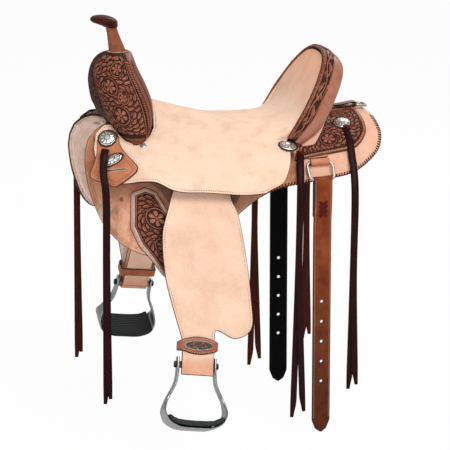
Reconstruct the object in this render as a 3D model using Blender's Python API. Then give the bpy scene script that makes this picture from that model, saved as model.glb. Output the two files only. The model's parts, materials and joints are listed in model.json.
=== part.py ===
"""Barrel racing saddle, modelled as the separate pieces that a saddle maker assembles.

Frame: metres, +Z up. The horse's head is towards -X and the near (left) side faces -Y.
The origin is the point under the seat where a saddle rack or the horse's back carries the tree.
Near-side pieces are modelled, and each off-side piece is its mirror image across Y = 0.
"""

import math

import bmesh
import bpy
from mathutils import Matrix, Vector, geometry

MM = 0.001

# Leather thicknesses and the clearances between layers
SKIRT_THICK = 5.0 * MM
FLEECE_THICK = 11.0 * MM
SEAT_THICK = 5.0 * MM
JOCKEY_THICK = 4.0 * MM
RIGGING_THICK = 3.8 * MM
KEEPER_THICK = 4.0 * MM
FENDER_THICK = 3.5 * MM
STRAP_THICK = 4.1 * MM
COVER_THICK = 4.0 * MM
STRING_THICK = 2.6 * MM
STRING_WIDTH = 13.0 * MM
STRING_FRONT_Y = 0.166
STRING_MID_Y = 0.186
STRING_REAR_Y = 0.184
GAP = 0.4 * MM

# Flank: the outer face of the skirt, which every side layer is measured from
FLANK_HALF_WIDTH = 0.165
FLANK_TOP = 0.048
FLANK_DROP = 0.075
FLARE = math.radians(22.0)
SPINE_S = 0.036
JOIN_S = 1.2 * MM

# Tree
BAR_THICK = 23.4 * MM
BAR_TIP_THICK = 6.5 * MM

# Seat: 381 mm (15 in) from the horn's base to the top of the cantle
SEAT_HALF_WIDTH = 0.228
SEAT_TOP = 0.080
SEAT_REAR_SECTION = 0.03
SEAT_CANTLE_LENGTH = 0.20
CANTLE_HEIGHT = 0.149
CANTLE_HALF_WIDTH = 0.126
CANTLE_TOP = Vector((0.194, 0.0, 0.207))
CANTLE_LEAN = Vector((0.515, 0.0, 0.857))
CANTLE_END_ANGLE = math.radians(105.0)
CANTLE_END_S = 0.15
CANTLE_BOARD = 25.0 * MM
CANTLE_BACK_THICK = 3.5 * MM
ROLL_DEPTH = 48.0 * MM
ROLL_SKIN = 4.5 * MM

# Stirrup leathers, which hang from a curved slot in each bar
HANG_X = -0.087
HANG_S = 0.2185
HANG_RADIUS = 23.0 * MM
BAR_TONGUE_S = HANG_S + 0.018
REST_SWING = math.radians(7.5)
SWING_FORWARD = math.radians(20.0)
SWING_BACK = math.radians(20.0)
SWING_SPARE = math.radians(3.0)
LOOP_HALF_ANGLE = math.radians(68.0)
LOOP_GAP_OUT = 4.9 * MM
LEATHER_DROP = 0.334
TAIL_HALF = 32.0 * MM

# Stirrups, made for 63.5 mm (2.5 in) leathers
STIRRUP_NECK = 74.0 * MM
STIRRUP_WIDTH = 122.0 * MM
STIRRUP_HEIGHT = 127.0 * MM
STIRRUP_FLOOR = 17.0 * MM
TREAD_TOP = STIRRUP_FLOOR - STIRRUP_HEIGHT
TREAD_THICK = 6.0 * MM
TREAD_DEPTH = 66.0 * MM
BOLT_RADIUS = 4.0 * MM
ROLLER_RADIUS = 7.2 * MM

# Rear rigging
BILLET_WIDTH = 38.0 * MM
BILLET_LENGTH = 0.528
BILLET_THICK = 5.0 * MM
DEE_WIRE = 3.0 * MM
DEE_WIDTH = 60.0 * MM
DEE_HEIGHT = 43.0 * MM
DEE_X = 0.156
DEE_S = 0.168
BACK_DEE_WIRE = 2.5 * MM
BACK_DEE_X = 0.270

HOLE_RADIUS = 3.2 * MM
CONCHO_RADIUS = 17.0 * MM


def ease(start, end, value):
    """0 before start, 1 past end, with a smooth S between them. end may lie below start."""
    share = min(1.0, max(0.0, (value - start) / (end - start)))
    return share * share * (3.0 - 2.0 * share)


def blend(a, b, share):
    return a + (b - a) * share


# Materials

FINISHES = {
    "roughout": ((0.88, 0.62, 0.45), 0.9, 0.0),
    "skirting": ((0.52, 0.25, 0.13), 0.55, 0.0),
    "tooled": ((0.24, 0.10, 0.05), 0.5, 0.0),
    "string": ((0.07, 0.02, 0.025), 0.5, 0.0),
    "billet": ((0.36, 0.15, 0.07), 0.5, 0.0),
    "fleece": ((0.62, 0.55, 0.47), 1.0, 0.0),
    "tree": ((0.70, 0.62, 0.45), 0.6, 0.0),
    "steel": ((0.45, 0.45, 0.46), 0.35, 1.0),
    "silver": ((0.75, 0.74, 0.72), 0.25, 1.0),
    "rubber": ((0.02, 0.02, 0.02), 0.8, 0.0),
}


def finish(name):
    """The Principled material of that name, made on first use."""
    material = bpy.data.materials.get(name)
    if material is None:
        colour, roughness, metallic = FINISHES[name]
        material = bpy.data.materials.new(name)
        material.use_nodes = True
        shader = material.node_tree.nodes["Principled BSDF"]
        shader.inputs["Base Color"].default_value = (*colour, 1.0)
        shader.inputs["Roughness"].default_value = roughness
        shader.inputs["Metallic"].default_value = metallic
    return material


# Mesh tools

def clear_scene():
    for item in list(bpy.data.objects):
        bpy.data.objects.remove(item, do_unlink=True)


def object_from(name, bm, finish_name, matrix=None, parent=None):
    """Turns a bmesh into a named object with smooth round faces."""
    bmesh.ops.recalc_face_normals(bm, faces=bm.faces)
    mesh = bpy.data.meshes.new(name)
    bm.to_mesh(mesh)
    bm.free()
    mesh.shade_smooth()
    mesh.set_sharp_from_angle(angle=math.radians(40.0))
    mesh.materials.append(finish(finish_name))
    item = bpy.data.objects.new(name, mesh)
    bpy.context.scene.collection.objects.link(item)
    place(item, matrix, parent)
    return item


def place(item, matrix, parent):
    """Sets an object's world matrix, below a parent where it has one."""
    item.matrix_world = matrix or Matrix.Identity(4)
    if parent:
        bpy.context.view_layer.update()
        world = item.matrix_world.copy()
        item.parent = parent
        item.matrix_parent_inverse = parent.matrix_world.inverted()
        item.matrix_world = world


def empty(name, matrix, parent=None):
    item = bpy.data.objects.new(name, None)
    bpy.context.scene.collection.objects.link(item)
    place(item, matrix, parent)
    bpy.context.view_layer.update()
    return item


MIRROR = Matrix.Diagonal((1.0, -1.0, 1.0, 1.0))


def across(matrix):
    """The matrix of the off-side twin of a near-side piece."""
    return MIRROR @ (matrix or Matrix.Identity(4)) @ MIRROR


def pair(name, bm, finish_name, matrix=None, parents=(None, None)):
    """Makes NAME_near from the bmesh and NAME_off as its mirror image."""
    twin = bm.copy()
    bmesh.ops.transform(twin, matrix=MIRROR, verts=twin.verts)
    bmesh.ops.reverse_faces(twin, faces=twin.faces)
    near = object_from(name + "_near", bm, finish_name, matrix, parents[0])
    off = object_from(name + "_off", twin, finish_name, across(matrix), parents[1])
    return near, off


def shell_of(points, triangles, lift_low, lift_high):
    """A closed solid from a sheet: its two faces and the wall round its border."""
    bm = bmesh.new()
    low = [bm.verts.new(p) for p in (lift_low(i) for i in range(len(points)))]
    high = [bm.verts.new(p) for p in (lift_high(i) for i in range(len(points)))]
    sides = {}
    for a, b, c in triangles:
        bm.faces.new((high[a], high[b], high[c]))
        bm.faces.new((low[c], low[b], low[a]))
        for start, end in ((a, b), (b, c), (c, a)):
            if sides.pop((end, start), None) is None:
                sides[(start, end)] = True
    for start, end in sides:
        bm.faces.new((low[start], low[end], high[end], high[start]))
    return bm


def anticlockwise(outline):
    """The outline in the order that the triangulation takes as its inside."""
    count = len(outline)
    area = sum(outline[i - 1][0] * outline[i][1] - outline[i][0] * outline[i - 1][1] for i in range(count))
    return list(outline) if area > 0 else list(reversed(outline))


def triangulate(outline, holes=(), lines=()):
    """Triangles that fill a flat outline, cut along extra lines, with the holes left open."""
    points = [Vector(p) for p in anticlockwise(outline)]
    faces = [list(range(len(points)))]
    for hole in map(anticlockwise, holes):
        faces.append(list(range(len(points), len(points) + len(hole))))
        points += [Vector(p) for p in hole]
    edges = []
    for a, b in lines:
        edges.append((len(points), len(points) + 1))
        points += [Vector(a), Vector(b)]
    found = geometry.delaunay_2d_cdt(points, edges, faces, 0, 1e-7)
    inside = [f for f, owners in zip(found[2], found[5]) if owners == [0]]
    used = sorted({v for face in inside for v in face})
    index = {v: i for i, v in enumerate(used)}
    return [found[0][v] for v in used], [tuple(index[v] for v in face) for face in inside]


def plate(outline, low, high, holes=()):
    """A flat plate in the XZ plane between Y = low and Y = high."""
    flat, triangles = triangulate(outline, holes)
    return shell_of(
        flat,
        triangles,
        lambda i: Vector((flat[i].x, low, flat[i].y)),
        lambda i: Vector((flat[i].x, high, flat[i].y)),
    )


def loft(rings, closed_path=False):
    """Skins rings of points, each with as many points, and caps the ends."""
    bm = bmesh.new()
    verts = [[bm.verts.new(p) for p in ring] for ring in rings]
    count = len(verts[0])
    spans = len(verts) if closed_path else len(verts) - 1
    for i in range(spans):
        this, following = verts[i], verts[(i + 1) % len(verts)]
        for j in range(count):
            k = (j + 1) % count
            bm.faces.new((this[j], this[k], following[k], following[j]))
    if not closed_path:
        bm.faces.new(list(reversed(verts[0])))
        bm.faces.new(verts[-1])
    return bm


def sweep(path, section, axis, closed_path=False):
    """Runs a section along a path that lies square to axis. Section points are (along axis, outwards)."""
    rings = []
    count = len(path)
    for i, point in enumerate(path):
        before = path[i - 1] if (i or closed_path) else point
        after = path[(i + 1) % count] if (i + 1 < count or closed_path) else point
        tangent = (after - before).normalized()
        outward = tangent.cross(axis).normalized()
        rings.append([point + axis * a + outward * b for a, b in section])
    return loft(rings, closed_path)


def circle(radius, count, turn=0.0):
    return [
        (radius * math.cos(turn + 2 * math.pi * i / count), radius * math.sin(turn + 2 * math.pi * i / count))
        for i in range(count)
    ]


def arc(centre, radius, start, end, steps):
    """Points of a circular arc in a plane, angles in radians."""
    return [
        (
            centre[0] + radius * math.cos(blend(start, end, i / steps)),
            centre[1] + radius * math.sin(blend(start, end, i / steps)),
        )
        for i in range(steps + 1)
    ]


def smooth(points, steps):
    """A Catmull-Rom curve through the points, with that many steps in each span."""
    knots = [Vector(p) for p in points]
    knots = [knots[0] * 2 - knots[1]] + knots + [knots[-1] * 2 - knots[-2]]
    curve = []
    for i in range(1, len(knots) - 2):
        a, b, c, d = knots[i - 1 : i + 3]
        for j in range(steps):
            t = j / steps
            curve.append(
                0.5 * (2 * b + (c - a) * t + (2 * a - 5 * b + 4 * c - d) * t * t + (3 * b - a - 3 * c + d) * t**3)
            )
    return curve + [knots[-2]]


def turned(profile, steps):
    """A solid of revolution about the local Y axis. Profile points are (radius, height towards -Y)."""
    rings = []
    for radius, height in profile:
        rings.append(
            [
                Vector(
                    (
                        radius * math.cos(2 * math.pi * i / steps),
                        -height,
                        radius * math.sin(2 * math.pi * i / steps),
                    )
                )
                for i in range(steps)
            ]
        )
    return loft(rings)


def boolean(target, cutter, operation="DIFFERENCE"):
    """Applies an exact Boolean to a bmesh and returns the new bmesh. Both are freed."""
    objects = []
    for bm in (target, cutter):
        bmesh.ops.recalc_face_normals(bm, faces=bm.faces)
        if bm.calc_volume(signed=True) < 0:
            bmesh.ops.reverse_faces(bm, faces=bm.faces)
        mesh = bpy.data.meshes.new("work")
        bm.to_mesh(mesh)
        bm.free()
        item = bpy.data.objects.new("work", mesh)
        bpy.context.scene.collection.objects.link(item)
        objects.append(item)
    modifier = objects[0].modifiers.new("cut", "BOOLEAN")
    modifier.operation = operation
    modifier.object = objects[1]
    modifier.solver = "EXACT"
    graph = bpy.context.evaluated_depsgraph_get()
    result = bmesh.new()
    result.from_mesh(objects[0].evaluated_get(graph).to_mesh())
    for item in objects:
        mesh = item.data
        bpy.data.objects.remove(item)
        bpy.data.meshes.remove(mesh)
    bmesh.ops.remove_doubles(result, verts=result.verts, dist=2e-6)
    bmesh.ops.dissolve_degenerate(result, edges=result.edges, dist=2e-6)
    return result


def main_body(bm):
    """Removes the small offcuts that a Boolean leaves beside the largest body."""
    bm.verts.index_update()
    left = set(bm.verts)
    bodies = []
    while left:
        body = {left.pop()}
        edge_of = list(body)
        while edge_of:
            for edge in edge_of.pop().link_edges:
                for vert in edge.verts:
                    if vert in left:
                        left.discard(vert)
                        body.add(vert)
                        edge_of.append(vert)
        bodies.append(body)
    bodies.sort(key=len, reverse=True)
    offcuts = [vert for body in bodies[1:] for vert in body]
    bmesh.ops.delete(bm, geom=offcuts, context="VERTS")
    return bm


# Curved surfaces

class Lattice:
    """A curved surface held as a net of flat triangles, so that layers at other depths never cross."""

    def __init__(self, along, across_lines, point):
        self.along = along
        self.across = across_lines
        self.points = [[point(u, s) for s in across_lines] for u in along]
        self.normals = [[self.normal(i, j) for j in range(len(across_lines))] for i in range(len(along))]

    def normal(self, i, j):
        last_i, last_j = len(self.along) - 1, len(self.across) - 1
        run = self.points[min(i + 1, last_i)][j] - self.points[max(i - 1, 0)][j]
        fall = self.points[i][min(j + 1, last_j)] - self.points[i][max(j - 1, 0)]
        return fall.cross(run).normalized()

    def cell(self, lines, value):
        for i in range(len(lines) - 2):
            if value <= lines[i + 1]:
                return i, (value - lines[i]) / (lines[i + 1] - lines[i])
        last = len(lines) - 2
        return last, (value - lines[last]) / (lines[last + 1] - lines[last])

    def mirrored(self, j):
        """Whether the cells of column j lie on the off side, where their diagonals run the other way."""
        return self.across[j] + self.across[j + 1] < 0

    def at(self, u, s):
        """The point and the unit normal at (u, s), read off the flat triangle there."""
        i, a = self.cell(self.along, u)
        j, b = self.cell(self.across, s)
        found = []
        for net in (self.points, self.normals):
            if self.mirrored(j):
                corner, side, end, b_here = net[i][j + 1], net[i][j], net[i + 1][j], 1.0 - b
                next_side = net[i + 1][j + 1]
            else:
                corner, side, end, b_here = net[i][j], net[i][j + 1], net[i + 1][j + 1], b
                next_side = net[i + 1][j]
            if a >= b_here:
                found.append(corner + (next_side - corner) * a + (end - next_side) * b_here)
            else:
                found.append(corner + (side - corner) * b_here + (end - side) * a)
        return found[0], found[1]

    def lines_within(self, outline):
        """The net's lines and diagonals, as far as they may cross the outline."""
        us = [p[0] for p in outline]
        ss = [p[1] for p in outline]
        wide = [i for i in range(len(self.along) - 1) if self.along[i + 1] > min(us) and self.along[i] < max(us)]
        tall = [j for j in range(len(self.across) - 1) if self.across[j + 1] > min(ss) and self.across[j] < max(ss)]
        lines = set()
        for i in wide:
            for j in tall:
                u0, u1 = self.along[i], self.along[i + 1]
                s0, s1 = self.across[j], self.across[j + 1]
                low, high = (s1, s0) if self.mirrored(j) else (s0, s1)
                for line in (
                    ((u0, s0), (u1, s0)),
                    ((u0, s1), (u1, s1)),
                    ((u0, s0), (u0, s1)),
                    ((u1, s0), (u1, s1)),
                    ((u0, low), (u1, high)),
                ):
                    lines.add(line)
        return sorted(lines)

    def panel(self, outline, low, high, holes=()):
        """A sheet that follows the surface inside an outline of (u, s) points.

        low and high are heights above the surface, as numbers or as functions of (u, s)."""
        flat, triangles = triangulate(outline, holes, self.lines_within(outline))
        spots = [self.at(p.x, p.y) for p in flat]

        def lift(height, i):
            rise = height(flat[i].x, flat[i].y) if callable(height) else height
            return spots[i][0] + spots[i][1] * rise

        return shell_of(flat, triangles, lambda i: lift(low, i), lambda i: lift(high, i))

    def seat_at(self, u, s, height):
        """The matrix of a piece that stands on the surface: -Y outwards, +X along the saddle."""
        point, normal = self.at(u, s)
        outward = normal.normalized()
        run = Vector((1.0, 0.0, 0.0))
        run = (run - outward * run.dot(outward)).normalized()
        rise = run.cross(-outward).normalized()
        matrix = Matrix((run, -outward, rise)).transposed().to_4x4()
        matrix.translation = point + outward * height
        return matrix


def arch(half_width, drop, top, slope, s):
    """The point, as (half width, height), that lies s along an elliptical arch that ends in a straight side."""
    last = math.atan(math.tan(slope) * half_width / drop)
    steps = 40
    travelled = 0.0
    before = (0.0, top)
    for i in range(1, steps + 1):
        angle = last * i / steps
        here = (half_width * math.sin(angle), top - drop * (1.0 - math.cos(angle)))
        step = math.dist(before, here)
        if travelled + step >= s:
            share = (s - travelled) / step
            return (blend(before[0], here[0], share), blend(before[1], here[1], share))
        travelled += step
        before = here
    rest = s - travelled
    return (before[0] + rest * math.cos(slope), before[1] - rest * math.sin(slope))


def flank_half(x):
    """Half the saddle's width over the skirts at X = x, before they flare."""
    return FLANK_HALF_WIDTH - 0.068 * ease(-0.18, -0.33, x) - 0.036 * ease(0.10, 0.33, x)


def flank_point(x, s):
    """The skirt's outer face at X = x, s along the section from the spine, on the near side."""
    width = flank_half(x)
    top = FLANK_TOP + 0.060 * ease(-0.14, -0.31, x) + 0.034 * ease(0.06, 0.28, x)
    drop = FLANK_DROP + 0.050 * ease(-0.14, -0.30, x) + 0.030 * ease(0.10, 0.30, x)
    flare = FLARE * (1.0 - 0.9 * ease(-0.20, -0.31, x))
    half, height = arch(width, drop, top, math.pi / 2 - flare, s)
    return Vector((x, -half, height))


def seat_section(x, s):
    """The seat leather's outer face at X = x, s along the section, on the near side for s above 0."""
    flank = flank_half(x)
    stand = blend(SEAT_HALF_WIDTH - FLANK_HALF_WIDTH, 0.022, ease(-0.17, -0.29, x))
    drop = 0.114 + 0.006 * ease(-0.10, -0.28, x)
    half, height = arch(flank + stand, drop, SEAT_TOP, math.radians(82.0), abs(s))
    height += 0.058 * ease(0.03, -0.26, x) * math.exp(-((half / 0.075) ** 2))
    height += 0.006 * ease(-0.20, -0.27, x)
    return Vector((x, -math.copysign(half, s), height))


def cantle_rim(s):
    """The rim of the cantle at section length s, and past its ends the jockey's rear edge."""
    share = min(1.0, abs(s) / CANTLE_END_S)
    angle = CANTLE_END_ANGLE * share
    point = CANTLE_TOP - CANTLE_LEAN * (CANTLE_HEIGHT * (1.0 - math.cos(angle)))
    half = CANTLE_HALF_WIDTH * math.sin(angle) ** 0.75
    rim = Vector((point.x, half, point.z))
    if abs(s) > CANTLE_END_S:
        share = (abs(s) - CANTLE_END_S) / 0.16
        turn = share * math.radians(90.0)
        rim.x = blend(rim.x, 0.034, share**2.2)
        rim.y = rim.y + (SEAT_HALF_WIDTH + 0.002 - rim.y) * math.sin(turn) ** 0.9
        rim.z = rim.z - 0.105 * share**1.5
    return Vector((rim.x, -math.copysign(rim.y, s), rim.z))


def cantle_foot(s):
    """Where the seat turns up into the face of the cantle."""
    share = min(1.0, abs(s) / CANTLE_END_S)
    angle = min(CANTLE_END_ANGLE * share, math.pi / 2)
    half = (CANTLE_HALF_WIDTH - 0.006) * math.sin(angle) ** 0.75
    return Vector((0.120 - 0.008 * share * share, -math.copysign(half, s), 0.076 - 0.022 * share * share))


def seat_point(u, s):
    """The seat leather's outer face: sections along X, then curves that sweep up the cantle."""
    if u <= SEAT_REAR_SECTION:
        return seat_section(u, s)
    share = (u - SEAT_REAR_SECTION) / SEAT_CANTLE_LENGTH
    start, end = seat_section(SEAT_REAR_SECTION, s), cantle_rim(s)
    foot = start.lerp(end, 0.6)
    if abs(s) < CANTLE_END_S:
        foot = cantle_foot(s).lerp(foot, ease(0.11, CANTLE_END_S, abs(s)))
    one, two = start.lerp(foot, 0.45), foot.lerp(end, 0.34)
    if share <= 0.2:
        return start.lerp(one, share / 0.2)
    if share >= 0.6:
        return two.lerp(end, (share - 0.6) / 0.4)
    turn = (share - 0.2) / 0.4
    return one.lerp(foot, turn).lerp(foot.lerp(two, turn), turn)


FLANK_X = [-0.345, -0.318, -0.29, -0.26, -0.225, -0.18, -0.12, -0.02]
FLANK_X += [0.06, 0.10, 0.14, 0.18, 0.22, 0.255, 0.285, 0.315, 0.345]
FLANK_S = [0.0, SPINE_S, 0.07, 0.10, 0.13, 0.155, 0.175, 0.19, 0.21, 0.26, 0.32, 0.40]
SEAT_S = [0.0, 0.03, 0.06, 0.09, 0.12, 0.15, 0.175, 0.195, 0.215, 0.24, 0.27, 0.31, 0.34]
SEAT_U = [-0.33, -0.30, -0.265, -0.235, -0.205, -0.175, -0.14, -0.08, -0.02, 0.03]
SEAT_U += [0.07, 0.105, 0.135, 0.16, 0.18, 0.205, 0.23]


# Tree

def bar_height(x, s):
    """How far the bar's outer face stands off the skirt: thick at the waist, thin at the tips."""
    spans = zip(FLANK_X, FLANK_X[1:])
    low, high = next((a, b) for a, b in spans if x <= b or b == FLANK_X[-1])
    heights = []
    for line in (low, high):
        waist = ease(-0.285, -0.16, line) * ease(0.13, 0.06, line)
        heights.append(GAP + blend(BAR_TIP_THICK, BAR_THICK, waist))
    return blend(heights[0], heights[1], (x - low) / (high - low))


def bar_outline():
    """The near bar in (x, s), with the tongue that holds the stirrup leather's slot."""
    tongue = 0.062
    low = 0.204
    deep = BAR_TONGUE_S
    return [
        (-0.263, 0.078),
        (-0.258, SPINE_S + 0.02),
        (-0.24, SPINE_S + 0.004),
        (0.100, SPINE_S + 0.004),
        (0.124, SPINE_S + 0.020),
        (0.128, 0.085),
        (0.118, 0.116),
        (0.085, 0.130),
        (0.040, 0.165),
        (HANG_X + tongue + 0.02, low),
        (HANG_X + tongue, deep),
        (HANG_X - tongue, deep),
        (HANG_X - tongue - 0.02, low),
        (-0.20, 0.180),
        (-0.242, 0.150),
        (-0.262, 0.118),
    ]


def bar_solid(flank):
    """The near bar's blank, before the seat and the stirrup leather are let into it."""
    return flank.panel(bar_outline(), GAP, bar_height)


def bar_cut(flank, clearance):
    """Everything at or under the outer face of the bars on the near side, with a clearance."""
    outline = [(-0.335, 0.028), (0.20, 0.028), (0.20, 0.20), (0.08, 0.20), (-0.12, 0.24), (-0.335, 0.28)]
    return flank.panel(outline, -0.030, lambda x, s: bar_height(x, s) + clearance)


def hang_matrix(flank):
    """The near stirrup leather's pivot: -Y outwards, square to the flared flank."""
    return flank.seat_at(HANG_X, HANG_S, 0.0)


def sector(inner, outer, start, end, low, high, steps):
    """A ring segment about the local Y axis, between two angles from its X axis."""
    outline = arc((0, 0), outer, end, start, steps)
    outline += arc((0, 0), inner, start, end, steps)
    return plate(outline, low, high)


def tree_bars(flank, seat):
    """Both bars, each with its curved slot and the pocket for the leather's inner run."""
    under = [(-0.325, 0.025), (0.2295, 0.025), (0.2295, 0.262), (-0.10, 0.262), (-0.325, 0.23)]
    bm = boolean(bar_solid(flank), seat.panel(under, -(SEAT_THICK + GAP), 0.045))
    hang = hang_matrix(flank)
    ahead = REST_SWING + SWING_FORWARD + SWING_SPARE
    behind = SWING_BACK - REST_SWING + SWING_SPARE
    first = math.pi / 2 - LOOP_HALF_ANGLE - ahead
    last = math.pi / 2 + LOOP_HALF_ANGLE + behind
    slot = sector(HANG_RADIUS, HANG_RADIUS + 6.0 * MM, first, last, -0.04, 0.01, 11)
    pocket_radius = HANG_RADIUS + 6.0 * MM
    pocket = arc((0, 0), pocket_radius, behind, math.pi - ahead, 9)
    front = Vector((-math.cos(ahead), math.sin(ahead))) * pocket_radius
    rear = Vector((math.cos(behind), math.sin(behind))) * pocket_radius
    front += Vector((-math.sin(ahead), -math.cos(ahead))) * 0.075
    rear += Vector((math.sin(behind), -math.cos(behind))) * 0.075
    pocket += [tuple(front), tuple(rear)]
    recess = plate(pocket, -(4.9 + STRAP_THICK / MM + 0.7) * MM, 0.01)
    for cutter in (slot, recess):
        bmesh.ops.transform(cutter, matrix=hang, verts=cutter.verts)
        bm = boolean(bm, cutter)
    pair("tree_bar", bm, "tree")


FORK_SIDES = 22
FORK_LEVELS = (
    (0.219, 0.028, -0.246, -0.194),
    (0.208, 0.056, -0.264, -0.190),
    (0.188, 0.080, -0.275, -0.183),
    (0.160, 0.106, -0.276, -0.170),
    (0.130, 0.127, -0.273, -0.160),
    (0.100, 0.137, -0.262, -0.159),
    (0.075, 0.138, -0.248, -0.166),
    (0.052, 0.132, -0.236, -0.178),
    (0.020, 0.122, -0.228, -0.195),
)


def fork_form(inset):
    """The swell fork as level slices, narrow across the front and full at the swells."""
    rings = []
    for height, half, front, rear in FORK_LEVELS:
        half, front, rear = half - inset, front + inset, rear - inset
        if height == FORK_LEVELS[0][0]:
            height -= inset
        middle, reach = (front + rear) / 2, (rear - front) / 2
        ring = []
        for i in range(FORK_SIDES):
            angle = 2 * math.pi * i / FORK_SIDES
            c, s = math.cos(angle), math.sin(angle)
            x = math.copysign(abs(c) ** 0.62, c)
            narrow = 1.0 - 0.20 * max(0.0, -x) ** 1.6 - 0.10 * max(0.0, x) ** 2
            ring.append(Vector((middle + reach * x, half * narrow * math.copysign(abs(s) ** 0.85, s), height)))
        rings.append(ring)
    return loft(rings)


def gullet_tunnel(shrink):
    """The arch under the fork, as a bar along X."""
    half, top, base = 0.080 - shrink, 0.103 - shrink, -0.05
    outline = [(half, base)]
    outline += [(half * math.cos(a), 0.02 + (top - 0.02) * math.sin(a)) for a in [math.pi * i / 14 for i in range(15)]]
    outline += [(-half, base)]
    bm = bmesh.new()
    ends = []
    for x in (-0.36, -0.12):
        ends.append([bm.verts.new((x, y, z)) for y, z in outline])
    count = len(outline)
    for i in range(count):
        j = (i + 1) % count
        bm.faces.new((ends[0][i], ends[0][j], ends[1][j], ends[1][i]))
    bm.faces.new(ends[0])
    bm.faces.new(list(reversed(ends[1])))
    return bm


def both_sides(make):
    """A near-side cutter and its mirror image."""
    near, off = make(), make()
    bmesh.ops.transform(off, matrix=MIRROR, verts=off.verts)
    bmesh.ops.reverse_faces(off, faces=off.faces)
    return near, off


def seat_cut(seat, clearance):
    """The space that the seat leather takes, with a clearance all round."""
    near = seat_outline()
    whole = near + [(u, -s) for u, s in reversed(near[1:])]
    return seat.panel(inset_outline(whole, -clearance), -SEAT_THICK - clearance, clearance)


def tree_fork(flank, seat):
    """The wooden fork and the tooled leather that covers it."""
    core = boolean(fork_form(COVER_THICK + 4 * GAP), gullet_tunnel(0.0))
    for cutter in both_sides(lambda: bar_cut(flank, GAP)):
        core = boolean(core, cutter)
    core = boolean(core, seat_cut(seat, 4 * GAP))
    object_from("tree_fork", main_body(core), "tree")
    cover = boolean(fork_form(0.0), fork_form(COVER_THICK))
    cover = boolean(cover, gullet_tunnel(0.5 * MM))
    for cutter in both_sides(lambda: bar_cut(flank, 2 * GAP)):
        cover = boolean(cover, cutter)
    cover = boolean(cover, seat_cut(seat, 0.5 * MM))
    object_from("fork_cover", main_body(cover), "tooled")


def horn():
    """The leaning horn: a steel core, its leather wrap and the dished cap."""
    foot = Vector((-0.2215, 0.0, 0.2212))
    head = Vector((-0.2345, 0.0, 0.2695))
    lean = (head - foot).normalized()
    steps = 18

    def ring(centre, radius_x, radius_y, tilt):
        side = Vector((math.cos(tilt), 0.0, -math.sin(tilt)))
        return [
            centre
            + side * (radius_x * math.cos(2 * math.pi * i / steps))
            + Vector((0, 1, 0)) * (radius_y * math.sin(2 * math.pi * i / steps))
            for i in range(steps)
        ]

    core = [ring(foot + lean * t * 0.046, 9.0 * MM, 9.0 * MM, 0.10) for t in (0.0, 0.5, 1.0)]
    object_from("horn_core", loft(core), "steel")
    outer, inner = [], []
    for i in range(4):
        share = i / 3
        centre = foot.lerp(head, share)
        radius = blend(18.0, 10.5, ease(-0.3, 1.0, share)) * MM
        outer.append(ring(centre + Vector((0, 0, 1)) * 0.3 * MM, radius, radius, 0.10))
        inner.append(ring(centre + Vector((0, 0, 1)) * 0.3 * MM, 9.4 * MM, 9.4 * MM, 0.10))
    bm = bmesh.new()
    skins = [[[bm.verts.new(p) for p in r] for r in side] for side in (outer, inner)]
    for side in skins:
        for i in range(3):
            for j in range(steps):
                k = (j + 1) % steps
                bm.faces.new((side[i][j], side[i][k], side[i + 1][k], side[i + 1][j]))
    for level in (0, 3):
        for j in range(steps):
            k = (j + 1) % steps
            bm.faces.new((skins[0][level][j], skins[0][level][k], skins[1][level][k], skins[1][level][j]))
    object_from("horn_wrap", bm, "skirting")
    cap_centre = Vector((-0.2475, 0.0, 0.2842))
    tilt = math.radians(2.0)
    normal = Vector((math.sin(tilt), 0.0, math.cos(tilt)))
    profile = ((-13.2, 12.0, 11.5), (-9.0, 19.0, 20.0), (-4.0, 25.5, 27.0), (0.0, 27.5, 29.0), (4.0, 27.0, 28.5))
    profile += ((7.5, 23.0, 24.0), (9.0, 15.0, 16.0))
    rings = []
    for height, radius_x, radius_y in profile:
        slide = Vector((0.011, 0.0, 0.0)) * ease(0.0, -13.2, height)
        rings.append(ring(cap_centre + slide + normal * height * MM, radius_x * MM, radius_y * MM, tilt))
    object_from("horn_cap", loft(rings), "string")


def tree_cantle(flank, seat):
    """The cantle board behind the seat leather, flat at the back and seated on the bars."""
    low, high = SEAT_REAR_SECTION + 0.090, SEAT_REAR_SECTION + SEAT_CANTLE_LENGTH - 0.010
    end = CANTLE_END_S - 0.055
    outline = [(low, -end), (high, -end), (high, end), (low, end)]

    def rear_face(u, s):
        return -(SEAT_THICK + blend(45.0, 7.0, ease(0.04, 0.09, abs(s))) * MM)

    bm = seat.panel(outline, rear_face, -(SEAT_THICK + GAP))
    bm = boolean(bm, behind_cantle(CANTLE_BOARD))
    for cutter in both_sides(lambda: bar_cut(flank, GAP)):
        bm = boolean(bm, cutter)
    object_from("tree_cantle", main_body(bm), "tree")


def cantle_back_axis():
    return Vector((CANTLE_LEAN.z, 0.0, -CANTLE_LEAN.x)).normalized()


def behind_cantle(depth):
    """Everything behind a plane that lies that far behind the cantle's rim."""
    back = cantle_back_axis()
    start = CANTLE_TOP + back * depth
    rings = []
    for reach in (0.0, 0.2):
        middle = start + back * reach
        up, wide = CANTLE_LEAN * 0.3, Vector((0.0, 0.3, 0.0))
        rings.append([middle - up - wide, middle - up + wide, middle + up + wide, middle + up - wide])
    return loft(rings)


def ground_seat(flank, seat):
    """The built-up ground seat that fills the space between the bars and the seat leather."""
    rear = SEAT_REAR_SECTION + 0.068
    outline = [(-0.155, -0.13), (rear, -0.13), (rear, 0.13), (-0.155, 0.13)]

    def underside(u, s):
        return -(SEAT_THICK + blend(4.0, 24.0, ease(0.02, 0.06, abs(s))) * MM)

    bm = seat.panel(outline, underside, -(SEAT_THICK + GAP))
    for cutter in both_sides(lambda: bar_cut(flank, GAP)):
        bm = boolean(bm, cutter)
    object_from("ground_seat", bm, "skirting")


# Leather on the flank

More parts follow.
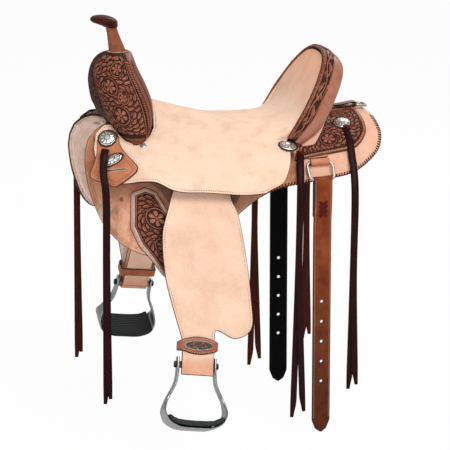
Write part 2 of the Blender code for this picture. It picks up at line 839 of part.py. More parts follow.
def skirt_outline():
    """The near skirt in (x, s): rounded front, deep lobe for the rigging, and round rear."""
    lower = [
        (-0.308, 0.148),
        (-0.305, 0.175),
        (-0.300, 0.203),
        (-0.290, 0.237),
        (-0.279, 0.266),
        (-0.261, 0.296),
        (-0.238, 0.320),
        (-0.205, 0.337),
        (-0.165, 0.342),
        (-0.120, 0.330),
        (-0.070, 0.300),
        (-0.016, 0.255),
        (0.030, 0.224),
        (0.077, 0.206),
        (0.130, 0.204),
        (0.194, 0.198),
        (0.230, 0.190),
        (0.262, 0.170),
        (0.290, 0.140),
        (0.301, 0.105),
        (0.300, 0.072),
    ]
    curve = [tuple(p) for p in smooth(lower, 2)]
    return [(0.296, 0.040), (0.292, JOIN_S), (0.155, JOIN_S), (0.140, SPINE_S), (-0.235, SPINE_S), (-0.258, 0.052), (-0.281, 0.077), (-0.298, 0.098), (-0.306, 0.122)] + curve


def inset_outline(outline, distance):
    """The outline moved inwards by a distance, square to each corner."""
    count = len(outline)
    moved = []
    area = sum(outline[i - 1][0] * outline[i][1] - outline[i][0] * outline[i - 1][1] for i in range(count))
    turn = 1.0 if area > 0 else -1.0
    for i, point in enumerate(outline):
        before, after = Vector(outline[i - 1]), Vector(outline[(i + 1) % count])
        run = (after - before).normalized()
        moved.append((point[0] - turn * run.y * distance, point[1] + turn * run.x * distance))
    return moved


def skirts(flank):
    """Skirts and the woolskin glued under them."""
    outline = skirt_outline()
    pair("skirt", flank.panel(outline, -SKIRT_THICK, 0.0), "skirting")
    inner = inset_outline(outline, 4.0 * MM)
    low = -(SKIRT_THICK + FLEECE_THICK)
    pair("fleece", flank.panel(inner, low, -(SKIRT_THICK + GAP)), "fleece")


def rigging_plates(flank):
    """The tooled rigging plates, sewn to the skirts in front of the stirrup leathers."""
    outline = [
        (-0.226, 0.212),
        (-0.200, 0.200),
        (-0.178, 0.206),
        (-0.158, BAR_TONGUE_S + 0.004),
        (-0.126, BAR_TONGUE_S + 0.004),
        (-0.120, 0.290),
        (-0.136, 0.345),
        (-0.154, 0.374),
        (-0.166, 0.379),
        (-0.180, 0.372),
        (-0.218, 0.318),
        (-0.231, 0.280),
    ]
    pair("rigging_plate", flank.panel(outline, GAP, GAP + RIGGING_THICK), "tooled")


def rear_jockeys(flank):
    """The tooled rear jockeys behind the cantle."""
    outline = [(0.148, JOIN_S), (0.266, JOIN_S), (0.270, 0.030)]
    curve = [
        (0.272, 0.058),
        (0.272, 0.082),
        (0.268, 0.106),
        (0.250, 0.132),
        (0.228, 0.144),
        (0.186, 0.151),
        (0.133, 0.156),
        (0.108, 0.158),
    ]
    outline += [tuple(p) for p in smooth(curve, 2)]
    outline += [(0.112, 0.145), (0.134, 0.112), (0.144, 0.075), (0.148, 0.040)]
    pair("rear_jockey", flank.panel(outline, GAP, GAP + JOCKEY_THICK), "tooled")


def seat_outline():
    """The seat leather with its jockeys in (u, s), for the near half."""
    lower = [
        (-0.2905, 0.118),
        (-0.2890, 0.138),
        (-0.2820, 0.165),
        (-0.2680, 0.190),
        (-0.2440, 0.210),
        (-0.2120, 0.226),
        (-0.1860, 0.240),
        (-0.1600, 0.257),
        (-0.1320, 0.265),
        (-0.0890, 0.268),
        (-0.0200, 0.276),
        (0.0170, 0.276),
        (0.0700, 0.272),
        (0.1300, 0.268),
        (0.1850, 0.266),
        (0.2290, 0.262),
    ]
    front = [(-0.157, 0.0), (-0.160, 0.052), (-0.167, 0.090), (-0.179, 0.114), (-0.192, 0.128), (-0.212, 0.133)]
    front += [(-0.228, 0.120), (-0.241, 0.097), (-0.250, 0.081), (-0.265, 0.080), (-0.283, 0.092)]
    return front + [tuple(p) for p in smooth(lower, 2)]


def seat_leather(seat):
    """One hide over the seat, both jockeys and the face of the cantle."""
    near = seat_outline()
    off = [(u, -s) for u, s in reversed(near[1:])]
    object_from("seat_leather", seat.panel(near + off, -SEAT_THICK, 0.0), "roughout")


def mirrored_seat_lattice():
    across_lines = [-s for s in reversed(SEAT_S[1:])] + SEAT_S
    return Lattice(SEAT_U, across_lines, seat_point)


# Cantle roll and back

def rim_frames(seat, count, end_s):
    """Points along the cantle's rim: the outward and backward directions, and how far the hide's edge reaches."""
    frames = []
    top = SEAT_REAR_SECTION + SEAT_CANTLE_LENGTH
    back = cantle_back_axis()
    for i in range(count + 1):
        s = blend(-end_s, end_s, i / count)
        point, normal = seat.at(top, s)
        run = seat.at(top, s + 0.006)[0] - seat.at(top, s - 0.006)[0]
        outward = run.cross(back).normalized()
        outward = (outward - back * outward.dot(back)).normalized()
        reach = max(0.0, -normal.dot(outward) * SEAT_THICK)
        frames.append((s, point, outward, back, reach))
    return frames


def cantle_binding(seat):
    """The tooled roll round the rim: it caps the edge of the seat leather and stands back as a shelf."""
    rings = []
    for s, point, outward, back, reach in rim_frames(seat, 30, CANTLE_END_S - 0.012):
        full = ease(CANTLE_END_S, CANTLE_END_S - 0.050, abs(s))
        depth = blend(24.0, ROLL_DEPTH / MM, full) * MM
        high = blend(6.0, 10.0, full) * MM
        under = reach + blend(3.0, 1.2, full) * MM
        section = [
            (under, -3.0 * MM),
            (under + high * 0.65, 1.0 * MM),
            (under + high * 0.9, depth * 0.30),
            (under + high * 0.75, depth * 0.72),
            (high * 0.25, depth),
            (high * 0.25 - 3.6 * MM, depth - 2.5 * MM),
            (under + high * 0.75 - ROLL_SKIN, depth * 0.66),
            (under, depth * 0.40),
        ]
        rings.append([point + outward * a + back * b for a, b in section])
    object_from("cantle_binding", loft(rings), "tooled")


def cantle_back(seat):
    """The leather that covers the back of the cantle, from the roll down to the rear jockeys."""
    rings = []
    low = CANTLE_BOARD + GAP
    for s, point, outward, back, reach in rim_frames(seat, 24, CANTLE_END_S - 0.040):
        high_edge = point - outward * 2.0 * MM + back * low
        floor = flank_height(high_edge) + 13.0 * MM
        slide = max(12.0 * MM, (high_edge.z - floor) / CANTLE_LEAN.z)
        low_edge = high_edge - CANTLE_LEAN * slide
        skin = back * CANTLE_BACK_THICK
        rings.append([high_edge, low_edge, low_edge + skin, high_edge + skin])
    object_from("cantle_back", loft(rings), "roughout")


def flank_height(point):
    """The height of the skirts' outer face over a point, on either side."""
    x = point.x - 0.05
    top = flank_point(x, 0.0).z
    s = 0.0
    while s < 0.25 and -flank_point(x, s).y < abs(point.y):
        s += 0.004
        top = flank_point(x, s).z
    return top


# Keepers, conchos and strings

def latigo_keepers(seat):
    """The keystone-shaped latigo keepers on the front jockeys, each with its slit."""
    outline = [
        (-0.280, 0.105),
        (-0.268, 0.095),
        (-0.253, 0.094),
        (-0.241, 0.105),
        (-0.240, 0.129),
        (-0.231, 0.155),
        (-0.217, 0.186),
        (-0.216, 0.198),
        (-0.225, 0.205),
        (-0.255, 0.208),
        (-0.274, 0.190),
        (-0.297, 0.173),
        (-0.300, 0.162),
        (-0.291, 0.145),
        (-0.283, 0.124),
    ]
    slit = [(-0.271, 0.1665), (-0.236, 0.1840), (-0.234, 0.1875), (-0.270, 0.1705)]
    pair("latigo_keeper", seat.panel(outline, GAP, GAP + KEEPER_THICK, [slit]), "skirting")


def concho(radius, height, scallops):
    """A domed concho with a scalloped edge and its back plate, standing on Y = 0."""
    steps = 16
    rings = []
    for share, rise in ((0.55, 0.0), (1.0, 0.6), (1.0, 1.7), (0.78, height / MM * 0.72), (0.35, height / MM)):
        ring = []
        for i in range(steps):
            angle = 2 * math.pi * i / steps
            edge = 1.0 - (0.05 * abs(math.sin(scallops * angle / 2)) if share == 1.0 else 0.0)
            reach = radius * share * edge
            ring.append(Vector((reach * math.cos(angle), -rise * MM, reach * math.sin(angle))))
        rings.append(ring)
    return loft(rings)


def oval_concho():
    rings = []
    for share, rise in ((0.8, 0.0), (1.0, 0.5), (1.0, 1.4), (0.7, 3.0), (0.3, 3.6)):
        rings.append([Vector((22.0 * MM * share * a, -rise * MM, 10.5 * MM * share * b)) for a, b in circle(1.0, 16)])
    return loft(rings)


def thong(points, tip):
    """A flat leather thong, its inner face along the points, which ends in a slanted tip."""
    half = STRING_WIDTH / 2
    rings = []
    for i, point in enumerate(points):
        run = (points[min(i + 1, len(points) - 1)] - points[max(i - 1, 0)]).normalized()
        wide = Vector((1.0, 0.0, 0.0))
        wide = (wide - run * wide.dot(run)).normalized()
        out = run.cross(wide).normalized() * STRING_THICK
        left, right = (half, half) if i < len(points) - 1 else (half * (1.0 - tip), half * tip)
        a, b = point - wide * left, point + wide * right
        rings.append([a, b, b + out, a + out])
    return loft(rings)


def string_pair(points, splay, fall):
    """Two thongs from one concho: they lie on one another and part on the way down."""
    lower = points[-1]
    inner = points + [lower + Vector((-splay, 0.0, -fall))]
    rise = Vector((1.5 * MM, -(STRING_THICK - 0.6 * MM), 0.0))
    outer = [p + rise for p in points] + [lower + rise + Vector((splay, 0.0, -fall * 0.96))]
    return boolean(thong(inner, 0.1), thong(outer, 0.9), "UNION")


def over(net, spots):
    """Points above a surface, each given as (u, s, height)."""
    return [net.at(u, s)[0] + net.at(u, s)[1] * height for u, s, height in spots]


# Fenders and stirrups

def stirrup_leather():
    """A closed loop of strap, straight down from its pivot at the origin: over the bar, round the bolt."""
    outer_low, outer_high = -(29.0 - 4.4) * MM, -(29.0 - 0.3) * MM
    inner_low, inner_high = -LOOP_GAP_OUT, -(LOOP_GAP_OUT + STRAP_THICK)
    half = HANG_RADIUS + 0.5 * MM + STRAP_THICK
    top = arc((0, 0), half, 0.0, math.pi, 12)
    outline = top + [(-half, -LEATHER_DROP), (half, -LEATHER_DROP)]
    outer = plate(outline, outer_high, outer_low)
    inner = plate(outline, inner_high, inner_low)
    first, last = math.pi / 2 - LOOP_HALF_ANGLE, math.pi / 2 + LOOP_HALF_ANGLE
    bridge = sector(HANG_RADIUS + 0.5 * MM, half, first, last, outer_high + 1.0 * MM, inner_low - 1.0 * MM, 10)
    middle = (outer_high + inner_low) / 2
    radius_out = (inner_low - outer_high) / 2
    radius_in = radius_out - STRAP_THICK
    centre = (middle, -LEATHER_DROP + 1.0 * MM)
    section = arc(centre, radius_out, math.pi, 2 * math.pi, 8) + arc(centre, radius_in, 2 * math.pi, math.pi, 8)
    rings = [[Vector((x, y, z)) for y, z in section] for x in (-half, half)]
    fold = loft(rings)
    bm = boolean(outer, bridge, "UNION")
    bm = boolean(bm, inner, "UNION")
    return boolean(bm, fold, "UNION"), middle


def fender_panel():
    """The fender: a broad leg panel with its rear lobe, narrowing to the stirrup leather's width."""
    rear = [
        (0.044, 0.030),
        (0.053, -0.004),
        (0.067, -0.031),
        (0.080, -0.080),
        (0.094, -0.150),
        (0.102, -0.207),
        (0.106, -0.239),
        (0.103, -0.258),
        (0.090, -0.272),
        (0.069, -0.278),
        (0.050, -0.270),
        (0.034, -0.264),
        (0.0315, -0.278),
        (TAIL_HALF, -0.300),
    ]
    front = [
        (-TAIL_HALF, -0.305),
        (-0.0335, -0.287),
        (-0.045, -0.253),
        (-0.059, -0.212),
        (-0.071, -0.172),
        (-0.078, -0.133),
        (-0.081, -0.106),
        (-0.082, -0.076),
        (-0.077, -0.048),
        (-0.067, -0.002),
        (-0.058, 0.030),
    ]
    outline = [tuple(p) for p in smooth(rear, 2)]
    tail = [(TAIL_HALF, -LEATHER_DROP - 0.020), (-TAIL_HALF, -LEATHER_DROP - 0.020)]
    outline += tail + [tuple(p) for p in smooth(front, 2)]
    low, high = -29.2 * MM, -(29.2 * MM + FENDER_THICK)
    return plate(outline, high, low)


def hobble_strap():
    """The hobble strap: a band round fender and leather above the stirrup, bellied in front."""
    outer_y, inner_y = -(29.2 * MM + FENDER_THICK) - GAP, -LOOP_GAP_OUT + GAP
    half = 36.0 * MM
    corners = ((half, outer_y, 4 * MM), (half, inner_y, 4 * MM), (-half, inner_y, 4 * MM), (-half, outer_y, 4 * MM))
    flat = rounded(corners, 3)
    front = [Vector((blend(-half + 4 * MM, half - 4 * MM, i / 8), 0.0, outer_y)) for i in range(1, 8)]
    path = [Vector((p.x, p.z, 0.0)) for p in flat + front]
    rings = []
    count = len(path)
    for i, base in enumerate(path):
        run = (path[(i + 1) % count] - path[i - 1]).normalized()
        out = run.cross(Vector((0.0, 0.0, 1.0))) * 3.0 * MM
        in_front = base.y < outer_y + 1.0 * MM
        tall = blend(9.0, 17.5, 1.0 - (base.x / half) ** 2) * MM if in_front else 9.0 * MM
        lift = Vector((0, 0, tall))
        rings.append([base - lift, base + out - lift, base + out + lift, base + lift])
    return loft(rings, closed_path=True)


def stirrup_form(grow):
    """The bell-shaped stirrup, hanging from the bolt's axis at the origin."""
    neck, half = STIRRUP_NECK / 2, STIRRUP_WIDTH / 2
    right = [
        (neck, 15.0 * MM),
        (neck, -12.0 * MM),
        (neck + 4.0 * MM, TREAD_TOP * 0.35),
        (half - 6.0 * MM, TREAD_TOP * 0.62),
        (half, TREAD_TOP + 22.0 * MM),
        (half - 2.0 * MM, TREAD_TOP + 10.0 * MM),
        (half - 11.0 * MM, TREAD_TOP - 4.0 * MM),
        (half - 32.0 * MM, TREAD_TOP - STIRRUP_FLOOR + 4.0 * MM),
        (0.0, TREAD_TOP - STIRRUP_FLOOR + 3.0 * MM),
    ]
    line = [Vector((p.x, 0.0, p.y)) for p in smooth(right, 2)]
    path = line + [Vector((-p.x, 0.0, p.z)) for p in reversed(line[:-1])]
    rings = []
    count = len(path)
    for i, point in enumerate(path):
        tangent = (path[min(i + 1, count - 1)] - path[max(i - 1, 0)]).normalized()
        outward = tangent.cross(Vector((0, 1, 0))).normalized()
        deep = ease(TREAD_TOP * 0.55, TREAD_TOP, point.z)
        wide = blend(11.0 * MM, TREAD_DEPTH / 2, deep) + grow
        thick = 2.3 * MM + grow
        section = ((-wide, 0.0), (-wide * 0.85, -thick * 1.25), (wide * 0.85, -thick * 1.25), (wide, 0.0))
        section += ((wide * 0.85, thick * 1.25), (-wide * 0.85, thick * 1.25))
        rings.append([point + Vector((0, 1, 0)) * a + outward * b for a, b in section])
    return loft(rings)


def bore_bar(length, radius, sides=16):
    """A round bar along X through the origin."""
    rings = [[Vector((x, a, b)) for a, b in circle(radius, sides)] for x in (-length, length)]
    return loft(rings)


def stirrup_bolt():
    """The stirrup bolt with its roller, which the leather turns round."""
    rings = []
    eye = STIRRUP_NECK / 2
    steps = (
        (-(eye + 7.0 * MM), 5.5 * MM),
        (-(eye + 4.0 * MM), 6.5 * MM),
        (-(eye + 3.8 * MM), BOLT_RADIUS),
        (-(eye - 5.0 * MM), BOLT_RADIUS),
        (-(eye - 5.2 * MM), ROLLER_RADIUS),
        (eye - 5.2 * MM, ROLLER_RADIUS),
        (eye - 5.0 * MM, BOLT_RADIUS),
        (eye + 3.8 * MM, BOLT_RADIUS),
        (eye + 4.0 * MM, 6.5 * MM),
        (eye + 7.0 * MM, 5.5 * MM),
    )
    for x, radius in steps:
        rings.append([Vector((x, a, b)) for a, b in circle(radius, 12)])
    return loft(rings)


def stirrup_tread():
    """The rubber tread, let in between the sides of the stirrup's floor."""
    half = STIRRUP_WIDTH / 2 - 4.0 * MM
    wide = TREAD_DEPTH / 2 - 3.0 * MM
    low = TREAD_TOP - TREAD_THICK
    outline = [(-half, low), (half, low), (half, TREAD_TOP), (-half, TREAD_TOP)]
    return main_body(boolean(plate(outline, -wide, wide), stirrup_form(GAP / 2)))


def hanging_gear(flank):
    """Leathers, fenders, hobble straps and stirrups on both sides, on their two pivots."""
    hang = hang_matrix(flank) @ Matrix.Rotation(REST_SWING, 4, "Y")
    pivots = (empty("near_fender_pivot", hang), empty("off_fender_pivot", across(hang)))
    leather, middle = stirrup_leather()
    pair("stirrup_leather", leather, "roughout", hang, pivots)
    pair("fender", fender_panel(), "roughout", hang, pivots)
    hobble = hang @ Matrix.Translation((0.0, 0.0, -LEATHER_DROP + 0.038))
    pair("hobble_strap", hobble_strap(), "skirting", hobble, pivots)
    plaque = hobble @ Matrix.Translation((0.0, -(29.2 * MM + FENDER_THICK + 3.9 * MM), 0.0))
    pair("hobble_plaque", oval_concho(), "silver", plaque, pivots)
    bolt = hang @ Matrix.Translation((0.0, middle, -LEATHER_DROP + 1.0 * MM))
    bolts = (empty("near_stirrup_pivot", bolt, pivots[0]), empty("off_stirrup_pivot", across(bolt), pivots[1]))
    pair("stirrup_bolt", stirrup_bolt(), "steel", bolt, bolts)
    frame = boolean(stirrup_form(0.0), bore_bar(STIRRUP_NECK, BOLT_RADIUS + GAP))
    pair("stirrup_frame", frame, "steel", bolt, bolts)
    pair("stirrup_tread", stirrup_tread(), "rubber", bolt, bolts)


# Rear rigging

def rounded(corners, steps):
    """A closed path in the XZ plane through (x, z, radius) corners, each rounded."""
    path = []
    count = len(corners)
    for i, (x, z, radius) in enumerate(corners):
        corner = Vector((x, 0.0, z))
        before = Vector((corners[i - 1][0], 0.0, corners[i - 1][1]))
        after = Vector((corners[(i + 1) % count][0], 0.0, corners[(i + 1) % count][1]))
        start = corner + (before - corner).normalized() * radius
        end = corner + (after - corner).normalized() * radius
        for j in range(steps + 1):
            share = j / steps
            path.append(start.lerp(corner, share).lerp(corner.lerp(end, share), share))
    return path


def dee_ring(top_width, bottom_width, height, wire):
    """A dee of round wire: its top bar's axis runs through the origin along X."""
    top, low = top_width / 2 - wire, bottom_width / 2 - wire
    drop = height - 2 * wire
    corners = ((top, 0.0, 6.0 * MM), (-top, 0.0, 6.0 * MM), (-low, -drop, 4.0 * MM), (low, -drop, 4.0 * MM))
    return sweep(rounded(corners, 3), circle(wire, 8), Vector((0, 1, 0)), True)


def dee_strap(width, reach):
    """The leather that folds round a dee's top bar and lies back on the skirt above it."""
    inner = DEE_WIRE + GAP
    outer = inner + 3.0 * MM
    outline = arc((0.0, 0.0), outer, -math.pi, 0.0, 8) + [(outer, reach), (-outer * 0.2, reach)]
    bm = plate_along_x(outline, width)
    return boolean(bm, bore_bar(width, inner, 12))


def plate_along_x(outline, width):
    """An outline of (y, z) points run along X, centred."""
    rings = [[Vector((x, a, b)) for a, b in outline] for x in (-width / 2, width / 2)]
    return loft(rings)


def billet():
    """The flank billet, folded over the dee at the origin and hanging straight down."""
    half = BILLET_WIDTH / 2
    inner = DEE_WIRE + GAP
    outer = inner + BILLET_THICK / 2
    fold = plate_along_x(arc((0, 0), outer, 0.0, math.pi, 8) + [(-outer, -0.075), (outer, -0.075)], BILLET_WIDTH)
    slot = arc((0, 0), inner, 0.0, math.pi, 8) + [(-inner, -0.020), (-0.3 * MM, -0.045), (0.3 * MM, -0.045)]
    slot += [(inner, -0.020)]
    fold = boolean(fold, plate_along_x(slot, BILLET_WIDTH * 2))
    tip = [(half, -0.060), (-half, -0.060)]
    tip += [(-half, -BILLET_LENGTH + 0.026), (-half * 0.62, -BILLET_LENGTH + 0.008), (0.0, -BILLET_LENGTH)]
    tip += [(half * 0.62, -BILLET_LENGTH + 0.008), (half, -BILLET_LENGTH + 0.026)]
    holes = []
    for i in range(5):
        z = -0.252 - i * 0.0418
        holes.append([(a, z + b) for a, b in circle(HOLE_RADIUS, 10)])
    strap = plate(tip, -BILLET_THICK / 2, BILLET_THICK / 2, holes)
    return boolean(fold, strap, "UNION")


def levelled(matrix):
    """The same place and outward side, turned so that its X axis is level."""
    inward = matrix.col[1].to_3d().normalized()
    run = inward.cross(Vector((0.0, 0.0, 1.0))).normalized()
    turned = Matrix((run, inward, run.cross(inward))).transposed().to_4x4()
    turned.translation = matrix.translation
    return turned


def plumb_from(matrix):
    """The same place and level X axis, with Z upright."""
    run = matrix.col[0].to_3d().normalized()
    rise = Vector((0.0, 0.0, 1.0))
    turned = Matrix((run, rise.cross(run), rise)).transposed().to_4x4()
    turned.translation = matrix.translation
    return turned


def rear_rigging(flank):
    """Rear dees in their leather loops, with the flank billets hanging from them."""
    outer = DEE_WIRE + GAP + 3.0 * MM
    lie = levelled(flank.seat_at(DEE_X, DEE_S, 2 * GAP + outer))
    pivots = (empty("near_dee_pivot", lie), empty("off_dee_pivot", across(lie)))
    pair("dee_strap", dee_strap(DEE_WIDTH - 20.0 * MM, 5.0 * MM), "skirting", lie)
    ring = dee_ring(DEE_WIDTH, DEE_WIDTH - 3.0 * MM, DEE_HEIGHT, DEE_WIRE)
    pair("rear_dee", ring, "silver", lie, pivots)
    low = lie @ Matrix.Translation((0.0, 0.0, -(DEE_HEIGHT - 2 * DEE_WIRE)))
    plumb = plumb_from(low)
    swings = (empty("near_billet_pivot", plumb, pivots[0]), empty("off_billet_pivot", across(plumb), pivots[1]))
    pair("billet", billet(), "billet", plumb, swings)


def back_dee(flank):
    """The single dee behind the cantle, in its strap on the spine."""
    inner = BACK_DEE_WIRE + GAP
    outer = inner + 2.6 * MM
    height = flank_point(BACK_DEE_X, 0.0).z + GAP + JOCKEY_THICK + outer
    base = Vector((BACK_DEE_X, 0.0, height))
    lie = Matrix(((0, 0, -1, 0), (1, 0, 0, 0), (0, -1, 0, 0), (0, 0, 0, 1)))
    lie = Matrix.Translation(base) @ Matrix.Rotation(math.radians(6.0), 4, "Y") @ lie
    pivot = empty("back_dee_pivot", lie)
    object_from("back_dee", dee_ring(40.0 * MM, 34.0 * MM, 28.0 * MM, BACK_DEE_WIRE), "silver", lie, pivot)
    outline = arc((0, 0), outer, -math.pi / 2, math.pi / 2, 8) + [(-0.042, outer * 0.1), (-0.042, -outer)]
    rings = [[Vector((a, y, b)) for a, b in outline] for y in (-10.0 * MM, 10.0 * MM)]
    strap = boolean(loft(rings), cross_bar(20.0 * MM, inner))
    object_from("back_dee_strap", strap, "skirting", Matrix.Translation(base))


def cross_bar(length, radius):
    """A round bar along Y through the origin."""
    rings = [[Vector((a, y, b)) for a, b in circle(radius, 12)] for y in (-length, length)]
    return loft(rings)


def breast_dees(flank):
    """The steel rigging slots at the skirts' front edges, for the breast collar."""
    outline = [(a * MM, b * MM) for a, b in ((-15, -13), (15, -13), (15, 13), (-15, 13))]
    slot = [(a * MM, b * MM) for a, b in ((-10, -8), (10, -8), (10, 8), (-10, 8))]
    matrix = flank.seat_at(-0.272, 0.243, 3 * GAP) @ Matrix.Rotation(math.radians(38.0), 4, "Y")
    pair("breast_dee", plate(outline, -3.0 * MM, 0.0, [slot]), "silver", matrix)


def dressings(flank, seat):
    """Conchos and the saddle strings tied through them."""
    on_keeper = GAP + KEEPER_THICK + 3 * GAP
    front = seat.seat_at(-0.261, 0.110, on_keeper)
    pair("front_concho", concho(CONCHO_RADIUS, 6.0 * MM, 10), "silver", front)
    oval = seat.seat_at(-0.257, 0.155, on_keeper) @ Matrix.Rotation(math.radians(-8.0), 4, "Y")
    pair("keeper_concho", oval_concho(), "silver", oval)
    mid = seat.seat_at(0.200, 0.172, 1.2 * MM)
    pair("mid_concho", concho(CONCHO_RADIUS, 6.0 * MM, 10), "silver", mid)
    rear = flank.seat_at(0.226, 0.074, GAP + JOCKEY_THICK + 3 * GAP)
    pair("rear_concho", concho(CONCHO_RADIUS, 6.0 * MM, 10), "silver", rear)
    front_run = over(seat, ((-0.267, 0.1300, 7.0 * MM), (-0.268, 0.140, 14.0 * MM), (-0.271, 0.172, 15.0 * MM)))
    front_run += [Vector((-0.278, -STRING_FRONT_Y, -0.045)), Vector((-0.279, -STRING_FRONT_Y, -0.200))]
    pair("front_strings", string_pair(front_run, 2.0 * MM, 0.262), "string")
    mid_run = over(flank, ((0.120, 0.148, 5.9 * MM), (0.115, 0.172, 7.6 * MM), (0.112, 0.200, 10.0 * MM)))
    mid_run += [Vector((0.110, -STRING_MID_Y, -0.055)), Vector((0.107, -STRING_MID_Y, -0.215))]
    pair("mid_strings", string_pair(mid_run, 9.0 * MM, 0.296), "string")
    rear_run = over(flank, ((0.228, 0.0945, 5.6 * MM), (0.227, 0.130, 6.4 * MM), (0.225, 0.165, 8.0 * MM)))
    rear_run += over(flank, ((0.224, 0.188, 13.0 * MM),))
    rear_run += [Vector((0.223, -STRING_REAR_Y, -0.070)), Vector((0.221, -STRING_REAR_Y, -0.230))]
    pair("rear_strings", string_pair(rear_run, 5.0 * MM, 0.230), "string")


def build():
    clear_scene()
    flank = Lattice(FLANK_X, FLANK_S, flank_point)
    seat = mirrored_seat_lattice()
    tree_bars(flank, seat)
    tree_fork(flank, seat)
    horn()
    tree_cantle(flank, seat)
    ground_seat(flank, seat)
    skirts(flank)
    rigging_plates(flank)
    rear_jockeys(flank)
    seat_leather(seat)
    cantle_binding(seat)
    cantle_back(seat)
    latigo_keepers(seat)
    hanging_gear(flank)
    rear_rigging(flank)
    back_dee(flank)
    breast_dees(flank)
    dressings(flank, seat)


build()
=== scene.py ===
"""A western barrel racing saddle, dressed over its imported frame. Metres, +Z up, horn at -X, near side -Y."""

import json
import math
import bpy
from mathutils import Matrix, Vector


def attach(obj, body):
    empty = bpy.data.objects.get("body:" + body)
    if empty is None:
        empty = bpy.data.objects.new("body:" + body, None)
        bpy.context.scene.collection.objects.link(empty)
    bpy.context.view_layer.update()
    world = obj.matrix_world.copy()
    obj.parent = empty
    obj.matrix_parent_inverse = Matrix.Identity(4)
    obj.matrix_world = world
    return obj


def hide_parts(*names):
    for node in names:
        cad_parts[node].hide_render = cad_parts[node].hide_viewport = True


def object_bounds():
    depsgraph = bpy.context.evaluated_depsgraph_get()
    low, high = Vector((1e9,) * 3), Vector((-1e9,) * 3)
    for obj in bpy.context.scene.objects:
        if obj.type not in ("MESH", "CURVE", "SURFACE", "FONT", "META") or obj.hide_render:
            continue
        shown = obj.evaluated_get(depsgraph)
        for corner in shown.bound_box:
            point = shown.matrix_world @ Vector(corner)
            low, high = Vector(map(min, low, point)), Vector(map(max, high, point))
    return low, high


bl_info = {
    "name": "Barrel racing saddle",
    "version": (1, 0, 0),
    "blender": (4, 5, 0),
    "location": "3D Viewport > Sidebar > Saddle",
    "description": "Builds the leather, silver and steel of a western barrel saddle",
    "category": "Add Mesh",
}

import bmesh
import bpy
from mathutils import Matrix, Vector
from mathutils.geometry import delaunay_2d_cdt

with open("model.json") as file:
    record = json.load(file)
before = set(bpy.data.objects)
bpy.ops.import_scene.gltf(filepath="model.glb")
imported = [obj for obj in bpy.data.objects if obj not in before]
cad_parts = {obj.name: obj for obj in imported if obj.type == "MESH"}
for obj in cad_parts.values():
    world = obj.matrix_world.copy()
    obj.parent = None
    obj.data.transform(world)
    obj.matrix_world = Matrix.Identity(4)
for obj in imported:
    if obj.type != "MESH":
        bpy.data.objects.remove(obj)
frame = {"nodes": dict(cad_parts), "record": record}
CAD_BOX = [list(corner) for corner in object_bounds()]

MM = 0.001
GAP = 0.4 * MM
SKIRT_THICK = 5.0 * MM
FLEECE_THICK = 11.0 * MM
SEAT_THICK = 5.0 * MM
JOCKEY_THICK = 4.0 * MM
RIGGING_THICK = 3.8 * MM
KEEPER_THICK = 4.0 * MM
FENDER_THICK = 3.5 * MM
STRAP_THICK = 4.1 * MM


# Colours and sizes that a user would change

def linear(code):
    """An sRGB hex colour as linear red, green and blue."""
    parts = [int(code[i : i + 2], 16) / 255 for i in (1, 3, 5)]
    return tuple(c / 12.92 if c <= 0.04045 else ((c + 0.055) / 1.055) ** 2.4 for c in parts)


def colour(label, code, words):
    return bpy.props.FloatVectorProperty(
        name=label, description=words, default=linear(code), subtype="COLOR", size=3, min=0.0, max=1.0
    )


def length(label, default, words):
    return bpy.props.FloatProperty(name=label, description=words, default=default, unit="LENGTH", min=0.0)


class SaddleColours(bpy.types.PropertyGroup):
    seat: colour("Seat", "#F6D4BA", "Roughout leather of the seat")
    fender: colour("Fenders", "#F2CAB0", "Roughout leather of the fenders and stirrup leathers")
    # The front skirt's colour is that of its top, darkened there partly by oil and partly as painted shade
    # under the seat's edge; lower down the shader makes it paler.
    skirt: colour("Front skirt", "#BE8263", "Roughout leather of the skirts below the fork")
    rear_skirt: colour("Rear skirt", "#F3BDA1", "Roughout leather of the skirts behind the seat")
    keeper: colour("Keeper", "#CC7F58", "Smooth leather of the latigo keepers and loops")
    tops: colour("Carving", "#9C593F", "Raised parts of the floral tooling")
    ground: colour("Carving ground", "#341C12", "Matted ground between the flowers")
    strip: colour("Fork strip", "#7C432A", "Plain leather along the rear edge and foot of the fork")
    roll: colour("Cantle roll", "#AD6C53", "Plain part of the cantle roll")
    horn: colour("Horn wrap", "#8F4E2C", "Leather round the neck of the horn")
    cap: colour("Horn cap", "#431510", "Leather over the top of the horn")
    billet: colour("Near billet", "#853D1A", "Flank billet on the near side")
    off_billet: colour("Off billet", "#040405", "Flank billet on the off side")
    thong: colour("Near strings", "#290F11", "Latigo saddle strings on the near side")
    off_thong: colour("Off strings", "#421810", "Latigo saddle strings on the off side")
    knot: colour("Knots", "#5E140E", "Latigo tied under the conchos")
    lining: colour("Woolskin", "#F6DACB", "Lining under the skirts")
    edge: colour("Edges", "#2B1611", "Dyed and slicked edges of the leather")
    border: colour("Bevelled border", "#C8A392", "Rubbed border of the rigging plates")
    hobble: colour("Hobble strap", "#A65C3C", "Strap above the stirrup")


class SaddleSizes(bpy.types.PropertyGroup):
    stitch: length("Stitch length", 3.0 * MM, "Length of one stitch that shows")
    stitch_pitch: length("Stitch spacing", 4.8 * MM, "From one stitch to the next")
    edge_round: length("Edge rounding", 1.3 * MM, "How far each leather edge is rounded over")
    carving: length("Carving depth", 1.2 * MM, "How far the flowers stand above their ground")
    thong_width: length("String width", 13.0 * MM, "Width of one saddle string")
    thong_thick: length("String thickness", 2.6 * MM, "Thickness of one saddle string")
    wire: length("Dee wire", 3.0 * MM, "Radius of the rear dees' wire")
    dot: length("Punched dots", 1.5 * MM, "Radius of the dots along the cantle roll")


def sizes():
    return bpy.context.scene.saddle_sizes


# Materials

FINISH = {}


